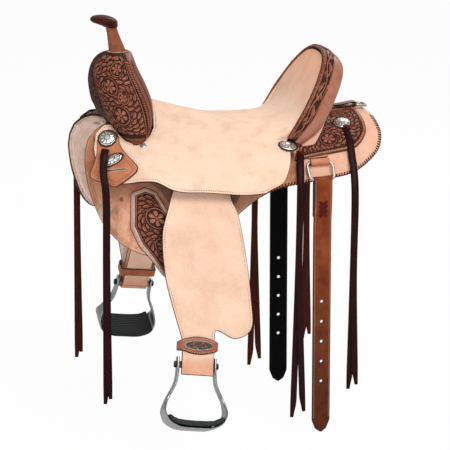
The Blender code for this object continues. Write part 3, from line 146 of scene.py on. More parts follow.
def node(tree, kind, values=None, links=None, **settings):
    """Adds a node with its settings, its unlinked values and the sockets linked into it."""
    item = tree.nodes.new(kind)
    for key, value in settings.items():
        setattr(item, key, value)
    for key, value in (values or {}).items():
        item.inputs[key].default_value = value
    for key, socket in (links or {}).items():
        tree.links.new(socket, item.inputs[key])
    return item


def spread(tree, value, low, high, start=0.0, end=1.0):
    """Maps a value that runs from start to end on to the run from low to high."""
    values = {"From Min": start, "From Max": end, "To Min": low, "To Max": high}
    return node(tree, "ShaderNodeMapRange", values, {"Value": value}).outputs["Result"]


def times(tree, values, links):
    """Multiplies the colours on sockets 6 and 7 of a mix node, as far as its socket 0 says."""
    return node(tree, "ShaderNodeMix", values, links, data_type="RGBA", blend_type="MULTIPLY").outputs[2]


def shade(rgb, share, warm=False):
    """A colour made darker or paler, with its fourth channel. Leather also grows redder as it darkens."""
    powers = (0.65, 1.1, 1.35) if warm else (1.0, 1.0, 1.0)
    return tuple(min(1.0, c * share**power) for c, power in zip(rgb[:3], powers)) + (1.0,)


def skin(
    name, base, dark, pale, patch_mm, grain_mm, rough, bump_mm, shine=0.5, pits=False, fall=None, **direct
):
    """A surface with broad patches of colour, a fine grain that darkens and lifts it, and uneven gloss.

    patch_mm and grain_mm are the sizes of the patches and of the grain, shine the specular level, and direct
    holds other constants for the shader. fall is two heights and the colour that multiplies it at the
    second."""
    warm = "Metallic" not in direct
    material = bpy.data.materials.new(name)
    material.use_nodes = True
    tree = material.node_tree
    shader = tree.nodes["Principled BSDF"]
    place = node(tree, "ShaderNodeTexCoord").outputs["Object"]
    noise = {"Scale": 1000 / patch_mm, "Detail": 4.0, "Roughness": 0.6}
    patch = node(tree, "ShaderNodeTexNoise", noise, {"Vector": place}).outputs["Fac"]
    ramp = node(tree, "ShaderNodeValToRGB", links={"Fac": patch})
    stops = ramp.color_ramp.elements
    stops[0].position, stops[0].color = 0.32, shade(base, dark, warm)
    stops[1].position, stops[1].color = 0.68, shade(base, pale, warm)
    stops.new(0.5).color = shade(base, 1.0)
    fine = {"Scale": 1000 / grain_mm}
    if pits:
        grain = node(tree, "ShaderNodeTexVoronoi", fine, {"Vector": place}, feature="F1").outputs["Distance"]
    else:
        fine.update({"Detail": 3.0, "Roughness": 0.65})
        grain = node(tree, "ShaderNodeTexNoise", fine, {"Vector": place}).outputs["Fac"]
    tint = spread(tree, grain, 0.86, 1.10, 0.25, 0.75)
    tone = times(tree, {0: 1.0}, {6: ramp.outputs["Color"], 7: tint})
    if fall:
        start, end, rgb = fall
        height = node(tree, "ShaderNodeSeparateXYZ", links={"Vector": place}).outputs["Z"]
        tone = times(tree, {7: rgb + (1.0,)}, {0: spread(tree, height, 0.0, 1.0, start, end), 6: tone})
    gloss = spread(tree, patch, rough - 0.06, min(1.0, rough + 0.08))
    lift = node(tree, "ShaderNodeBump", {"Strength": 1.0, "Distance": bump_mm * MM}, {"Height": grain})
    for key, socket in (("Base Color", tone), ("Roughness", gloss), ("Normal", lift.outputs["Normal"])):
        tree.links.new(socket, shader.inputs[key])
    shader.inputs["Specular IOR Level"].default_value = shine
    for key, value in direct.items():
        shader.inputs[key.replace("_", " ")].default_value = value
    FINISH[name] = material


class SADDLE_OT_finishes(bpy.types.Operator):
    """Makes the leathers, metals, wool and rubber"""

    bl_idname = "saddle.finishes"
    bl_label = "Finishes"

    def execute(self, context):
        look = context.scene.saddle_colours
        self.roughout(look)
        self.skirting(look)
        self.carved(look)
        self.latigo(look)
        self.wool_and_thread(look)
        self.hard()
        return {"FINISHED"}

    def roughout(self, look):
        # Roughout cowhide, split and brushed: the flesh side is turned outwards, so it is matt and napped,
        # with soft pale and dark patches where hands have laid the nap. The nap is under 0.5 mm and is drawn
        # at 2 mm. It grows warmer up the cantle and browner below the hobble strap. The front skirts are
        # darkest at their tops, partly from oil and partly as painted shade under the seat's edge, and grow
        # paler towards their foot.
        up_cantle = (0.10, 0.17, (1.05, 0.82, 0.73))
        down_strap = (-0.325, -0.345, (0.88, 0.68, 0.62))
        skirt_oil_and_painted_shade = (-0.01, -0.085, (1.64, 1.92, 2.2))
        skin("roughout leather", look.seat, 0.88, 1.04, 34.0, 2.0, 0.93, 0.25, 0.20, fall=up_cantle,
             Sheen_Weight=0.10)
        skin("roughout leather, fender", look.fender, 0.90, 1.08, 46.0, 2.0, 0.93, 0.25, 0.20,
             fall=down_strap, Sheen_Weight=0.10)
        skin("roughout leather, oiled brown with painted shade", look.skirt, 0.55, 1.20, 34.0, 2.4, 0.85, 0.30, 0.22,
             fall=skirt_oil_and_painted_shade)
        skin("roughout leather, peach", look.rear_skirt, 0.90, 1.05, 30.0, 2.2, 0.92, 0.25, 0.2)

    def skirting(self, look):
        # Vegetable-tanned skirting, oiled and rubbed: a close grain with a low shine, darker where oil has
        # pooled. The roll is lacquered, so a clear coat sharpens its highlight.
        skin("skirting leather, russet", look.keeper, 0.72, 1.14, 24.0, 1.8, 0.48, 0.12, 0.35)
        skin("skirting leather, hobble", look.hobble, 0.78, 1.14, 22.0, 1.8, 0.46, 0.12, 0.35)
        skin("skirting leather, roll", look.roll, 0.74, 1.18, 30.0, 2.0, 0.32, 0.10, Coat_Weight=0.3,
             Coat_Roughness=0.22)
        skin("skirting leather, horn", look.horn, 0.66, 1.20, 16.0, 1.8, 0.40, 0.12, 0.4)
        skin("skirting leather, fork", look.strip, 0.62, 1.25, 14.0, 1.8, 0.42, 0.12, 0.3)
        # Edges dyed, dampened and slicked with a burnisher: dark, smooth and waxy.
        skin("slicked edge", look.edge, 0.85, 1.20, 10.0, 2.0, 0.42, 0.05, 0.25)
        # A bevel pressed by a creaser and rubbed back: paler than the leather round it, faintly pink.
        skin("bevelled leather", look.border, 0.80, 1.12, 12.0, 2.0, 0.42, 0.10)

    def carved(self, look):
        # Carved skirting under an antique finish: the tops are rubbed back to russet and take a polish, and
        # the ground, beaten with a matting tool every 1 mm and drawn at 2.4 mm, stays nearly black.
        skin("carved leather, tops", look.tops, 0.58, 1.34, 11.0, 2.0, 0.40, 0.10, 0.4)
        # The fork's front carving takes the tops darkened to a third: painted shade, as that face is in
        # shadow.
        shaded, cut = shade(look.tops, 0.32), shade(look.ground, 1.6)
        skin("carved leather, tops in painted shade", shaded, 0.58, 1.34, 11.0, 2.0, 0.45, 0.10, 0.2)
        skin("carved leather, cut sides", cut, 0.80, 1.20, 8.0, 2.0, 0.60, 0.1, 0.2)
        skin("carved leather, matted ground", look.ground, 0.75, 1.25, 14.0, 2.4, 0.65, 0.5, 0.2, True)

    def latigo(self, look):
        # Latigo, tanned with alum and waxed: soft, dark and slightly glossy along the strings.
        skin("latigo leather, near", look.thong, 0.75, 1.25, 20.0, 2.0, 0.40, 0.10, 0.07)
        skin("latigo leather, off", look.off_thong, 0.75, 1.25, 20.0, 2.0, 0.44, 0.10, 0.08)
        skin("latigo leather, knots", look.knot, 0.80, 1.18, 8.0, 2.0, 0.45, 0.12, 0.12)
        skin("latigo leather, cap", look.cap, 0.70, 1.25, 14.0, 1.6, 0.42, 0.08, 0.12)
        # Harness leather, stuffed with tallow: firm and smooth, with a dull shine, darker towards its tip.
        down_billet = (-0.14, -0.46, (0.46, 0.44, 0.44))
        skin("harness leather, near", look.billet, 0.52, 1.36, 30.0, 1.9, 0.45, 0.12, 0.16, fall=down_billet)
        skin("harness leather, off", look.off_billet, 0.80, 1.30, 20.0, 1.9, 0.50, 0.12, 0.06)

    def wool_and_thread(self, look):
        # Woolskin: clipped sheep's wool on the hide, matt and curled. Its locks are about 4 mm across.
        skin("woolskin", look.lining, 0.84, 1.08, 16.0, 4.5, 0.98, 1.6, 0.1, Sheen_Weight=0.35)
        # Waxed linen thread: pale or dyed brown, with a little shine, and one twist every millimetre.
        skin("waxed thread", linear("#E8D8BC"), 0.85, 1.05, 6.0, 1.0, 0.55, 0.1)
        skin("dark waxed thread", linear("#5A3524"), 0.85, 1.15, 6.0, 1.0, 0.5, 0.1, 0.3)
        # Rawhide over a wooden tree: stretched wet and dried, hard and slightly glossy. Its dark brown is
        # painted shade, for where the bars show under the seat's and skirts' edges.
        skin("rawhide, darkened as painted shade", linear("#7A5644"), 0.80, 1.10, 28.0, 3.0, 0.45, 0.2)

    def hard(self):
        # Nickel silver, stamped and hand engraved: bright and warm, its recesses filled with dark wax.
        skin("nickel silver, engraved", linear("#F6F2EC"), 0.90, 1.02, 7.0, 1.2, 0.36, 0.05, Metallic=1.0)
        skin("antique wax in engraving", linear("#4A423B"), 0.80, 1.20, 5.0, 1.5, 0.60, 0.1)
        # Nickel silver, cast and tumbled: greyer, with a soft highlight.
        skin("nickel silver, cast", linear("#B4AFA6"), 0.80, 1.10, 9.0, 1.5, 0.33, 0.08, Metallic=1.0)
        # Copper-plated steel, etched and blackened: rubbed back to a dull brown copper on what stands up.
        skin("copper plate, antiqued", linear("#8E6A5A"), 0.70, 1.15, 6.0, 1.5, 0.36, 0.06, Metallic=1.0)
        # Aluminium, sand cast and tumbled: grey, with a broad soft highlight and faint pitting at 1.5 mm.
        skin("cast aluminium", linear("#A9ABAD"), 0.82, 1.08, 10.0, 1.5, 0.36, 0.12, Metallic=1.0)
        # Zinc plate on steel: an even grey that has lost its first shine.
        skin("zinc-plated steel", linear("#8C8A86"), 0.85, 1.08, 8.0, 1.5, 0.35, 0.06, Metallic=1.0)
        # Steel blackened by hot oil: nearly black, partly a metal's highlight and partly the oxide's.
        skin("blackened steel", linear("#1E1D1C"), 0.85, 1.30, 6.0, 1.5, 0.42, 0.06, Metallic=0.6)
        # Copper, hammered over a burr: warm and bright on its dome.
        skin("copper rivet", linear("#B8704A"), 0.85, 1.10, 3.0, 1.0, 0.32, 0.05, Metallic=1.0)
        # Moulded rubber: black gone grey with dust, dull, with a fine pebble.
        skin("moulded rubber", linear("#262A2B"), 0.80, 1.25, 10.0, 1.6, 0.66, 0.15, 0.35)


# Curves and surfaces, the same as the frame's

def ease(start, end, value):
    """0 before start, 1 past end, with a smooth S between them. end may lie below start."""
    share = min(1.0, max(0.0, (value - start) / (end - start)))
    return share * share * (3.0 - 2.0 * share)


def blend(a, b, share):
    return a + (b - a) * share


def bulged(value, power):
    """A power of a value that keeps its sign."""
    return math.copysign(abs(value) ** power, value)


def in_mm(points):
    """Points given in millimetres, turned into metres."""
    return [tuple(value * MM for value in point) for point in points]


def arc(centre, radius, start, end, steps):
    found = []
    for i in range(steps + 1):
        angle = blend(start, end, i / steps)
        found.append((centre[0] + radius * math.cos(angle), centre[1] + radius * math.sin(angle)))
    return found


def circle(count, turn=0.0):
    """Angles evenly spaced round a circle."""
    return [turn + 2 * math.pi * k / count for k in range(count)]


def spline(a, b, c, d, t):
    """A point on a Catmull-Rom curve, between b and c."""
    return 0.5 * (2 * b + (c - a) * t + (2 * a - 5 * b + 4 * c - d) * t * t + (3 * b - a - 3 * c + d) * t**3)


def smooth(points, steps, closed=False):
    """A Catmull-Rom curve through the points, with that many steps in each span."""
    knots = [Vector(p) for p in points]
    if closed:
        knots = [knots[-1]] + knots + knots[:2]
    else:
        knots = [knots[0] * 2 - knots[1]] + knots + [knots[-1] * 2 - knots[-2]]
    curve = [spline(*knots[i : i + 4], j / steps) for i in range(len(knots) - 3) for j in range(steps)]
    return curve if closed else curve + [knots[-2]]


def pairs_of(curve):
    return [tuple(p) for p in curve]


def rounded(corners, steps):
    """A closed path in the XZ plane through (x, z, radius) corners, each rounded."""
    path = []
    points = [Vector((x, 0.0, z)) for x, z, radius in corners]
    for i, corner in enumerate(points):
        before, after = points[i - 1], points[(i + 1) % len(points)]
        start = corner + (before - corner).normalized() * corners[i][2]
        end = corner + (after - corner).normalized() * corners[i][2]
        shares = [j / steps for j in range(steps + 1)]
        path += [start.lerp(corner, t).lerp(corner.lerp(end, t), t) for t in shares]
    return path


FLANK_HALF_WIDTH = 0.165
SEAT_HALF_WIDTH = 0.228
SPINE_S = 0.036
JOIN_S = 1.2 * MM
SEAT_REAR = 0.03
SEAT_REACH = 0.20
CANTLE_TOP = Vector((0.194, 0.0, 0.207))
CANTLE_LEAN = Vector((0.515, 0.0, 0.857))
CANTLE_BACK = Vector((CANTLE_LEAN.z, 0.0, -CANTLE_LEAN.x)).normalized()
CANTLE_END_S = 0.15


def arch(half_width, drop, top, slope, s):
    """The point that lies s along an elliptical arch that ends in a straight side."""
    last = math.atan(math.tan(slope) * half_width / drop)
    travelled, before = 0.0, (0.0, top)
    for i in range(1, 41):
        angle = last * i / 40
        here = (half_width * math.sin(angle), top - drop * (1.0 - math.cos(angle)))
        step = math.dist(before, here)
        if travelled + step >= s:
            share = (s - travelled) / step
            return (blend(before[0], here[0], share), blend(before[1], here[1], share))
        travelled += step
        before = here
    rest = s - travelled
    return (before[0] + rest * math.cos(slope), before[1] - rest * math.sin(slope))


def flank_half(x):
    return FLANK_HALF_WIDTH - 0.068 * ease(-0.18, -0.33, x) - 0.036 * ease(0.10, 0.33, x)


def flank_point(x, s):
    """The skirt's outer face on the near side."""
    width = flank_half(x)
    top = 0.048 + 0.060 * ease(-0.14, -0.31, x) + 0.034 * ease(0.06, 0.28, x)
    drop = 0.075 + 0.050 * ease(-0.14, -0.30, x) + 0.030 * ease(0.10, 0.30, x)
    flare = math.radians(22.0) * (1.0 - 0.9 * ease(-0.20, -0.31, x))
    half, height = arch(width, drop, top, math.pi / 2 - flare, s)
    return Vector((x, -half, height))


def seat_section(x, s):
    stand = blend(SEAT_HALF_WIDTH - FLANK_HALF_WIDTH, 0.022, ease(-0.17, -0.29, x))
    drop = 0.114 + 0.006 * ease(-0.10, -0.28, x)
    half, height = arch(flank_half(x) + stand, drop, 0.080, math.radians(82.0), abs(s))
    height += 0.058 * ease(0.03, -0.26, x) * math.exp(-((half / 0.075) ** 2))
    height += 0.006 * ease(-0.20, -0.27, x)
    return Vector((x, -math.copysign(half, s), height))


def cantle_rim(s):
    """The rim of the cantle, and past its ends the jockey's rear edge."""
    share = min(1.0, abs(s) / CANTLE_END_S)
    angle = math.radians(105.0) * share
    point = CANTLE_TOP - CANTLE_LEAN * (0.149 * (1.0 - math.cos(angle)))
    rim = Vector((point.x, 0.126 * math.sin(angle) ** 0.75, point.z))
    if abs(s) > CANTLE_END_S:
        share = (abs(s) - CANTLE_END_S) / 0.16
        rim.x = blend(rim.x, 0.034, share**2.2)
        rim.y = rim.y + (SEAT_HALF_WIDTH + 0.002 - rim.y) * math.sin(share * math.pi / 2) ** 0.9
        rim.z = rim.z - 0.105 * share**1.5
    return Vector((rim.x, -math.copysign(rim.y, s), rim.z))


def cantle_foot(s):
    share = min(1.0, abs(s) / CANTLE_END_S)
    angle = min(math.radians(105.0) * share, math.pi / 2)
    half = 0.120 * math.sin(angle) ** 0.75
    return Vector((0.120 - 0.008 * share * share, -math.copysign(half, s), 0.076 - 0.022 * share * share))


def seat_point(u, s):
    """The seat leather's outer face: sections along X, then curves that sweep up the cantle."""
    if u <= SEAT_REAR:
        return seat_section(u, s)
    share = (u - SEAT_REAR) / SEAT_REACH
    start, end = seat_section(SEAT_REAR, s), cantle_rim(s)
    foot = start.lerp(end, 0.6)
    if abs(s) < CANTLE_END_S:
        foot = cantle_foot(s).lerp(foot, ease(0.11, CANTLE_END_S, abs(s)))
    one, two = start.lerp(foot, 0.45), foot.lerp(end, 0.34)
    if share <= 0.2:
        return start.lerp(one, share / 0.2)
    if share >= 0.6:
        return two.lerp(end, (share - 0.6) / 0.4)
    turn = (share - 0.2) / 0.4
    return one.lerp(foot, turn).lerp(foot.lerp(two, turn), turn)


class Net:
    """A smooth surface read off a fine grid of points and outward normals."""

    def __init__(self, point, us, ss, step):
        self.low = (us[0], ss[0])
        self.count = (round((us[1] - us[0]) / step) + 1, round((ss[1] - ss[0]) / step) + 1)
        self.step = step
        rows, columns = [range(count) for count in self.count]
        self.points = [[point(us[0] + i * step, ss[0] + j * step) for j in columns] for i in rows]
        self.normals = [[self.normal(i, j) for j in columns] for i in rows]

    def normal(self, i, j):
        run = self.points[min(i + 1, self.count[0] - 1)][j] - self.points[max(i - 1, 0)][j]
        fall = self.points[i][min(j + 1, self.count[1] - 1)] - self.points[i][max(j - 1, 0)]
        return fall.cross(run).normalized()

    def at(self, u, s):
        """The point and the outward normal at (u, s)."""
        a = min(max((u - self.low[0]) / self.step, 0.0), self.count[0] - 1.001)
        b = min(max((s - self.low[1]) / self.step, 0.0), self.count[1] - 1.001)
        i, j = int(a), int(b)
        a, b = a - i, b - j
        found = []
        for net in (self.points, self.normals):
            near = net[i][j].lerp(net[i + 1][j], a)
            found.append(near.lerp(net[i][j + 1].lerp(net[i + 1][j + 1], a), b))
        return found[0], found[1].normalized()


class Flat:
    """A flat place to lay leather: u along X, s along Z, and heights towards -Y."""

    def __init__(self, matrix):
        self.matrix = matrix
        self.out = -matrix.col[1].to_3d().normalized()

    def at(self, u, s):
        return self.matrix @ Vector((u, 0.0, s)), self.out


def spot(net, u, s, height, turn=0.0):
    """The matrix of a piece that stands on a surface: -Y outwards, +X along the saddle."""
    point, outward = net.at(u, s)
    run = Vector((1.0, 0.0, 0.0))
    run = (run - outward * run.dot(outward)).normalized()
    matrix = Matrix((run, -outward, run.cross(-outward))).transposed().to_4x4()
    matrix.translation = point + outward * height
    return matrix @ Matrix.Rotation(turn, 4, "Y")


FLANK = Net(flank_point, (-0.345, 0.345), (0.0, 0.40), 5.0 * MM)
SEAT = Net(seat_point, (-0.330, 0.230), (-0.30, 0.30), 4.0 * MM)


def hinge(name):
    """A joint's point and axis at rest."""
    joint = next(j for j in frame["record"]["behaviour"]["joints"] if j["name"] == name)
    return Vector(joint["pos_m"]), Vector(joint["axis"])


def axes(point, run, inward):
    """A matrix at a point, with +X along run and +Y inwards."""
    matrix = Matrix((run, inward, run.cross(inward))).transposed().to_4x4()
    matrix.translation = point
    return matrix


HANG = axes(hinge("near_fender_swing")[0], hinge("near_stirrup_swing")[1], hinge("near_fender_swing")[1])
BOLT = axes(hinge("near_stirrup_swing")[0], hinge("near_stirrup_swing")[1], hinge("near_fender_swing")[1])
DEE_POINT, DEE_RUN = hinge("near_dee_lift")[0], -hinge("near_dee_lift")[1]
DEE = axes(DEE_POINT, DEE_RUN, Vector((-0.07225, 0.82104, -0.56628)))
BILLET = axes(hinge("near_billet_swing")[0], DEE_RUN, Vector((0.0, 0.0, 1.0)).cross(DEE_RUN))


# Meshes

def walk(points, spacing, closed=True):
    """Evenly spaced points along a line."""
    line = list(points) + ([points[0]] if closed else [])
    lengths = [math.dist(a, b) for a, b in zip(line, line[1:])]
    total = sum(lengths)
    count = max(3, round(total / spacing))
    found, i, passed = [], 0, 0.0
    for k in range(count + (0 if closed else 1)):
        goal = total * k / count
        while i < len(lengths) - 1 and passed + lengths[i] < goal:
            passed += lengths[i]
            i += 1
        share = (goal - passed) / (lengths[i] or 1.0)
        found.append(tuple(blend(a, b, share) for a, b in zip(line[i], line[i + 1])))
    return found


def inset(ring, distance, closed=True):
    """A ring of (u, s) points moved inwards, square to its run."""
    area = sum(a[0] * b[1] - b[0] * a[1] for a, b in zip(ring, ring[1:] + ring[:1]))
    turn = distance * math.copysign(1.0, area) if closed else distance
    moved = []
    last = len(ring) - 1
    for i, (u, s) in enumerate(ring):
        before = ring[i - 1] if closed or i else ring[i]
        after = ring[(i + 1) % len(ring)] if closed or i < last else ring[i]
        du, ds = after[0] - before[0], after[1] - before[1]
        size = math.hypot(du, ds) or 1.0
        moved.append((u - ds / size * turn, s + du / size * turn))
    return moved


def inside(point, ring):
    odd = False
    x, y = point
    for (ax, ay), (bx, by) in zip(ring, ring[1:] + ring[:1]):
        if (ay > y) != (by > y) and x < ax + (y - ay) * (bx - ax) / (by - ay):
            odd = not odd
    return odd


def bridge(bm, one, two, index, closed=True):
    """Faces between two rings of vertices."""
    count = len(one)
    for i in range(count if closed else count - 1):
        j = (i + 1) % count
        bm.faces.new((one[i], one[j], two[j], two[i])).material_index = index


def over(net, u, s, height):
    """The point at a height over a surface."""
    point, normal = net.at(u, s)
    return point + normal * height


def within(point, rings):
    """Whether a point lies inside the first ring and outside the others."""
    return inside(point, rings[0]) and not any(inside(point, ring) for ring in rings[1:])


def hide(net, outline, low, high, cell=7.0 * MM, holes=(), bm=None, relief=None, marks=(0, 1, 2)):
    """A piece of leather on a surface, with rounded edges.

    marks are the materials of its face, its edge and its flesh side."""
    bm = bm or bmesh.new()
    edge = min(sizes().edge_round, (high - low) * 0.45)
    rings = [walk(outline, min(cell, 4.0 * MM))] + [walk(hole, 2.0 * MM) for hole in holes]
    signs = [1.0] + [-1.0] * len(holes)
    flat = [inset(ring, edge * sign) for ring, sign in zip(rings, signs)]
    guard = [inset(ring, (edge + cell * 0.55) * sign) for ring, sign in zip(rings, signs)]
    points, edges = [], []
    for ring in flat:
        start = len(points)
        points += ring
        edges += [(start + i, start + (i + 1) % len(ring)) for i in range(len(ring))]
    us, ss = [p[0] for p in rings[0]], [p[1] for p in rings[0]]
    row = 0
    s = min(ss) + cell / 2
    while s < max(ss):
        u = min(us) + cell * (0.5 if row % 2 else 0.25)
        while u < max(us):
            if within((u, s), guard):
                points.append((u, s))
            u += cell
        s += cell * 0.87
        row += 1
    spots, _, faces, sources = delaunay_2d_cdt([Vector(p) for p in points], edges, [], 0, 1e-7)[:4]
    place = {source: i for i, found in enumerate(sources) for source in found}
    tops = [bm.verts.new(over(net, p.x, p.y, high + (relief(p.x, p.y) if relief else 0.0))) for p in spots]
    lows = [bm.verts.new(over(net, p.x, p.y, low)) for p in spots]
    for a, b, c in faces:
        if within(tuple((spots[a] + spots[b] + spots[c]) / 3), flat):
            bm.faces.new((tops[a], tops[b], tops[c])).material_index = marks[0]
            bm.faces.new((lows[a], lows[c], lows[b])).material_index = marks[2]
    start = 0
    rounding = ((0.3, high - edge * 0.3), (0.0, high - edge), (0.0, low + edge), (0.3, low + edge * 0.3))
    for ring, sign in zip(rings, signs):
        last = [tops[place[start + i]] for i in range(len(ring))]
        for share, height in rounding:
            here = [bm.verts.new(over(net, u, s, height)) for u, s in inset(ring, edge * share * sign)]
            bridge(bm, last, here, marks[1])
            last = here
        bridge(bm, last, [lows[place[start + i]] for i in range(len(ring))], marks[1])
        start += len(ring)
    bmesh.ops.delete(bm, geom=[v for v in bm.verts if not v.link_faces], context="VERTS")
    bmesh.ops.recalc_face_normals(bm, faces=bm.faces)
    return bm


def band(bm, net, outline, near, far, low, high, index):
    """A raised strip beside an outline, from one inset to another."""
    ring = walk(outline, 3.0 * MM)
    last = None
    for share, height in ((0.0, low), (0.2, high), (0.8, high), (1.0, low)):
        here = [bm.verts.new(over(net, u, s, height)) for u, s in inset(ring, blend(near, far, share))]
        if last:
            bridge(bm, last, here, index)
        last = here


# A stitch: its corners as shares of its length, half-width and height, and the faces between them
STITCH = ((-0.5, 0, 0), (-0.25, -1, 0), (-0.25, 0, 1), (-0.25, 1, 0), (0.25, -1, 0), (0.25, 0, 1),
          (0.25, 1, 0), (0.5, 0, 0))
STITCH_FACES = ((0, 1, 2), (0, 2, 3), (1, 4, 5, 2), (2, 5, 6, 3), (4, 7, 5), (5, 7, 6))


def stitches(bm, net, path, height, index, closed=False):
    """A row of separate stitches along a path on a surface."""
    spots = walk(path, sizes().stitch_pitch, closed)
    last = len(spots) - 1
    for i, here in enumerate(spots):
        after = spots[0 if closed and i == last else min(i + 1, last)]
        before = spots[i - 1] if closed or i else here
        run = Vector((after[0] - before[0], after[1] - before[1]))
        if run.length == 0.0:
            continue
        run = run.normalized()
        side = Vector((-run.y, run.x))
        made = []
        for along, wide, tall in STITCH:
            flat = Vector(here) + run * along * sizes().stitch + side * wide * 0.6 * MM
            made.append(bm.verts.new(over(net, flat.x, flat.y, height + (tall * 0.7 - 0.15) * MM)))
        for corners in STITCH_FACES:
            bm.faces.new([made[k] for k in corners]).material_index = index


def loft(rings, index=0, bm=None, around=False, marks=None):
    """A skin over closed rings of points; marks gives the material of each column of faces."""
    bm = bm or bmesh.new()
    made = [[bm.verts.new(p) for p in ring] for ring in rings]
    for one, two in list(zip(made, made[1:])) + ([(made[-1], made[0])] if around else []):
        for i in range(len(one)):
            j = (i + 1) % len(one)
            bm.faces.new((one[i], one[j], two[j], two[i])).material_index = marks[i] if marks else index
    if not around:
        for ring in (made[0], list(reversed(made[-1]))):
            bm.faces.new(ring).material_index = index
    bmesh.ops.recalc_face_normals(bm, faces=bm.faces)
    return bm


def tube(path, radius, sides, index=0, bm=None, around=False):
    """A round bar along a path of points."""
    rings = []
    last = len(path) - 1
    for i, point in enumerate(path):
        after = path[0 if around and i == last else min(i + 1, last)]
        before = path[i - 1] if around or i else point
        run = (after - before).normalized()
        side = run.cross(Vector((0.13, 0.97, 0.21))).normalized()
        rise = run.cross(side)
        rings.append([point + (side * math.cos(a) + rise * math.sin(a)) * radius for a in circle(sides)])
    return loft(rings, index, bm, around=around)


def turned(bm, matrix, profile, sides, marks, base=0, scallop=None, oval=(1.0, 1.0)):
    """A round or oval piece on a matrix, from (radius, rise) points, rising towards -Y."""
    made = []
    for radius, rise in profile:
        ring = []
        for angle in circle(sides):
            reach = radius * (scallop(angle, radius) if scallop else 1.0)
            flat = Vector((reach * math.cos(angle) * oval[0], -rise, reach * math.sin(angle) * oval[1]))
            ring.append(bm.verts.new(matrix @ flat))
        made.append(ring)
    for mark, one, two in zip(marks, made, made[1:]):
        bridge(bm, one, two, mark)
    bm.faces.new(made[0]).material_index = base
    bm.faces.new(list(reversed(made[-1]))).material_index = marks[-1]


def solid(name, bm):
    """An object made from a mesh that was built up in code."""
    mesh = bpy.data.meshes.new(name)
    bm.to_mesh(mesh)
    bm.free()
    item = bpy.data.objects.new(name, mesh)
    bpy.context.scene.collection.objects.link(item)
    return item


def piece(name, bm, finishes, body="saddle", nodes=(), sharp=40.0):
    """A finished object that rides on a body and stands for its CAD nodes."""
    item = solid(name, bm)
    for finish in finishes:
        item.data.materials.append(FINISH[finish])
    item.data.shade_smooth()
    item.data.set_sharp_from_angle(angle=math.radians(sharp))
    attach(item, body)
    if nodes:
        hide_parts(*nodes)
    return item


def mirrored(bm):
    """A copy of a mesh on the other side of the saddle."""
    copy = bm.copy()
    bmesh.ops.transform(copy, matrix=Matrix.Diagonal((1.0, -1.0, 1.0, 1.0)), verts=copy.verts)
    bmesh.ops.reverse_faces(copy, faces=copy.faces)
    return copy


def both(name, bm, finishes, body="saddle", node_name=None, off_finishes=None, sharp=40.0):
    """The near piece and its mirror image on the off side."""
    off = mirrored(bm)
    for side, mesh, looks in (("near", bm, finishes), ("off", off, off_finishes or finishes)):
        own = body if body == "saddle" else side + "_" + body
        nodes = (node_name + "_" + side,) if node_name else ()
        piece(name + "_" + side, mesh, looks, own, nodes, sharp)


# Floral carving

def swell(t):
    """How full a leaf is at a share of its length."""
    return math.sin(math.pi * min(1.0, t * 0.93 + 0.06)) ** 0.75


def polar(x, y, reach, angle):
    return (x + reach * math.cos(angle), y + reach * math.sin(angle))


# Sections across a ribbon, a leaf and a petal: how high each point stands and how far out it lies
ROUND = ((0.0, 0.85, 1.0, 0.85, 0.0), (1.0, 0.62, 0.0, -0.62, -1.0))
LEAF = ((0.0, 1.0, 0.8, 0.3, 0.3, 0.8, 1.0, 0.0), (1.0, 0.80, 0.34, 0.10, -0.10, -0.34, -0.80, -1.0))
PETAL = ((0.0, 1.0, 0.85, 0.45, 0.85, 1.0, 0.0), (1.0, 0.82, 0.45, 0.0, -0.45, -0.82, -1.0))
# Leaves that fill a ground, the longest first, and how each may lean and bend
LEAVES = ((15, 6.8), (11.5, 5.4), (8.5, 4.2), (6, 3.2), (4.5, 2.4), (3, 1.7))
LEANS = ((-0.5, 1.3), (0.4, 1.1), (math.pi + 0.5, -1.3), (-1.2, 0.9), (math.pi + 1.2, -0.9), (0.0, -0.8))


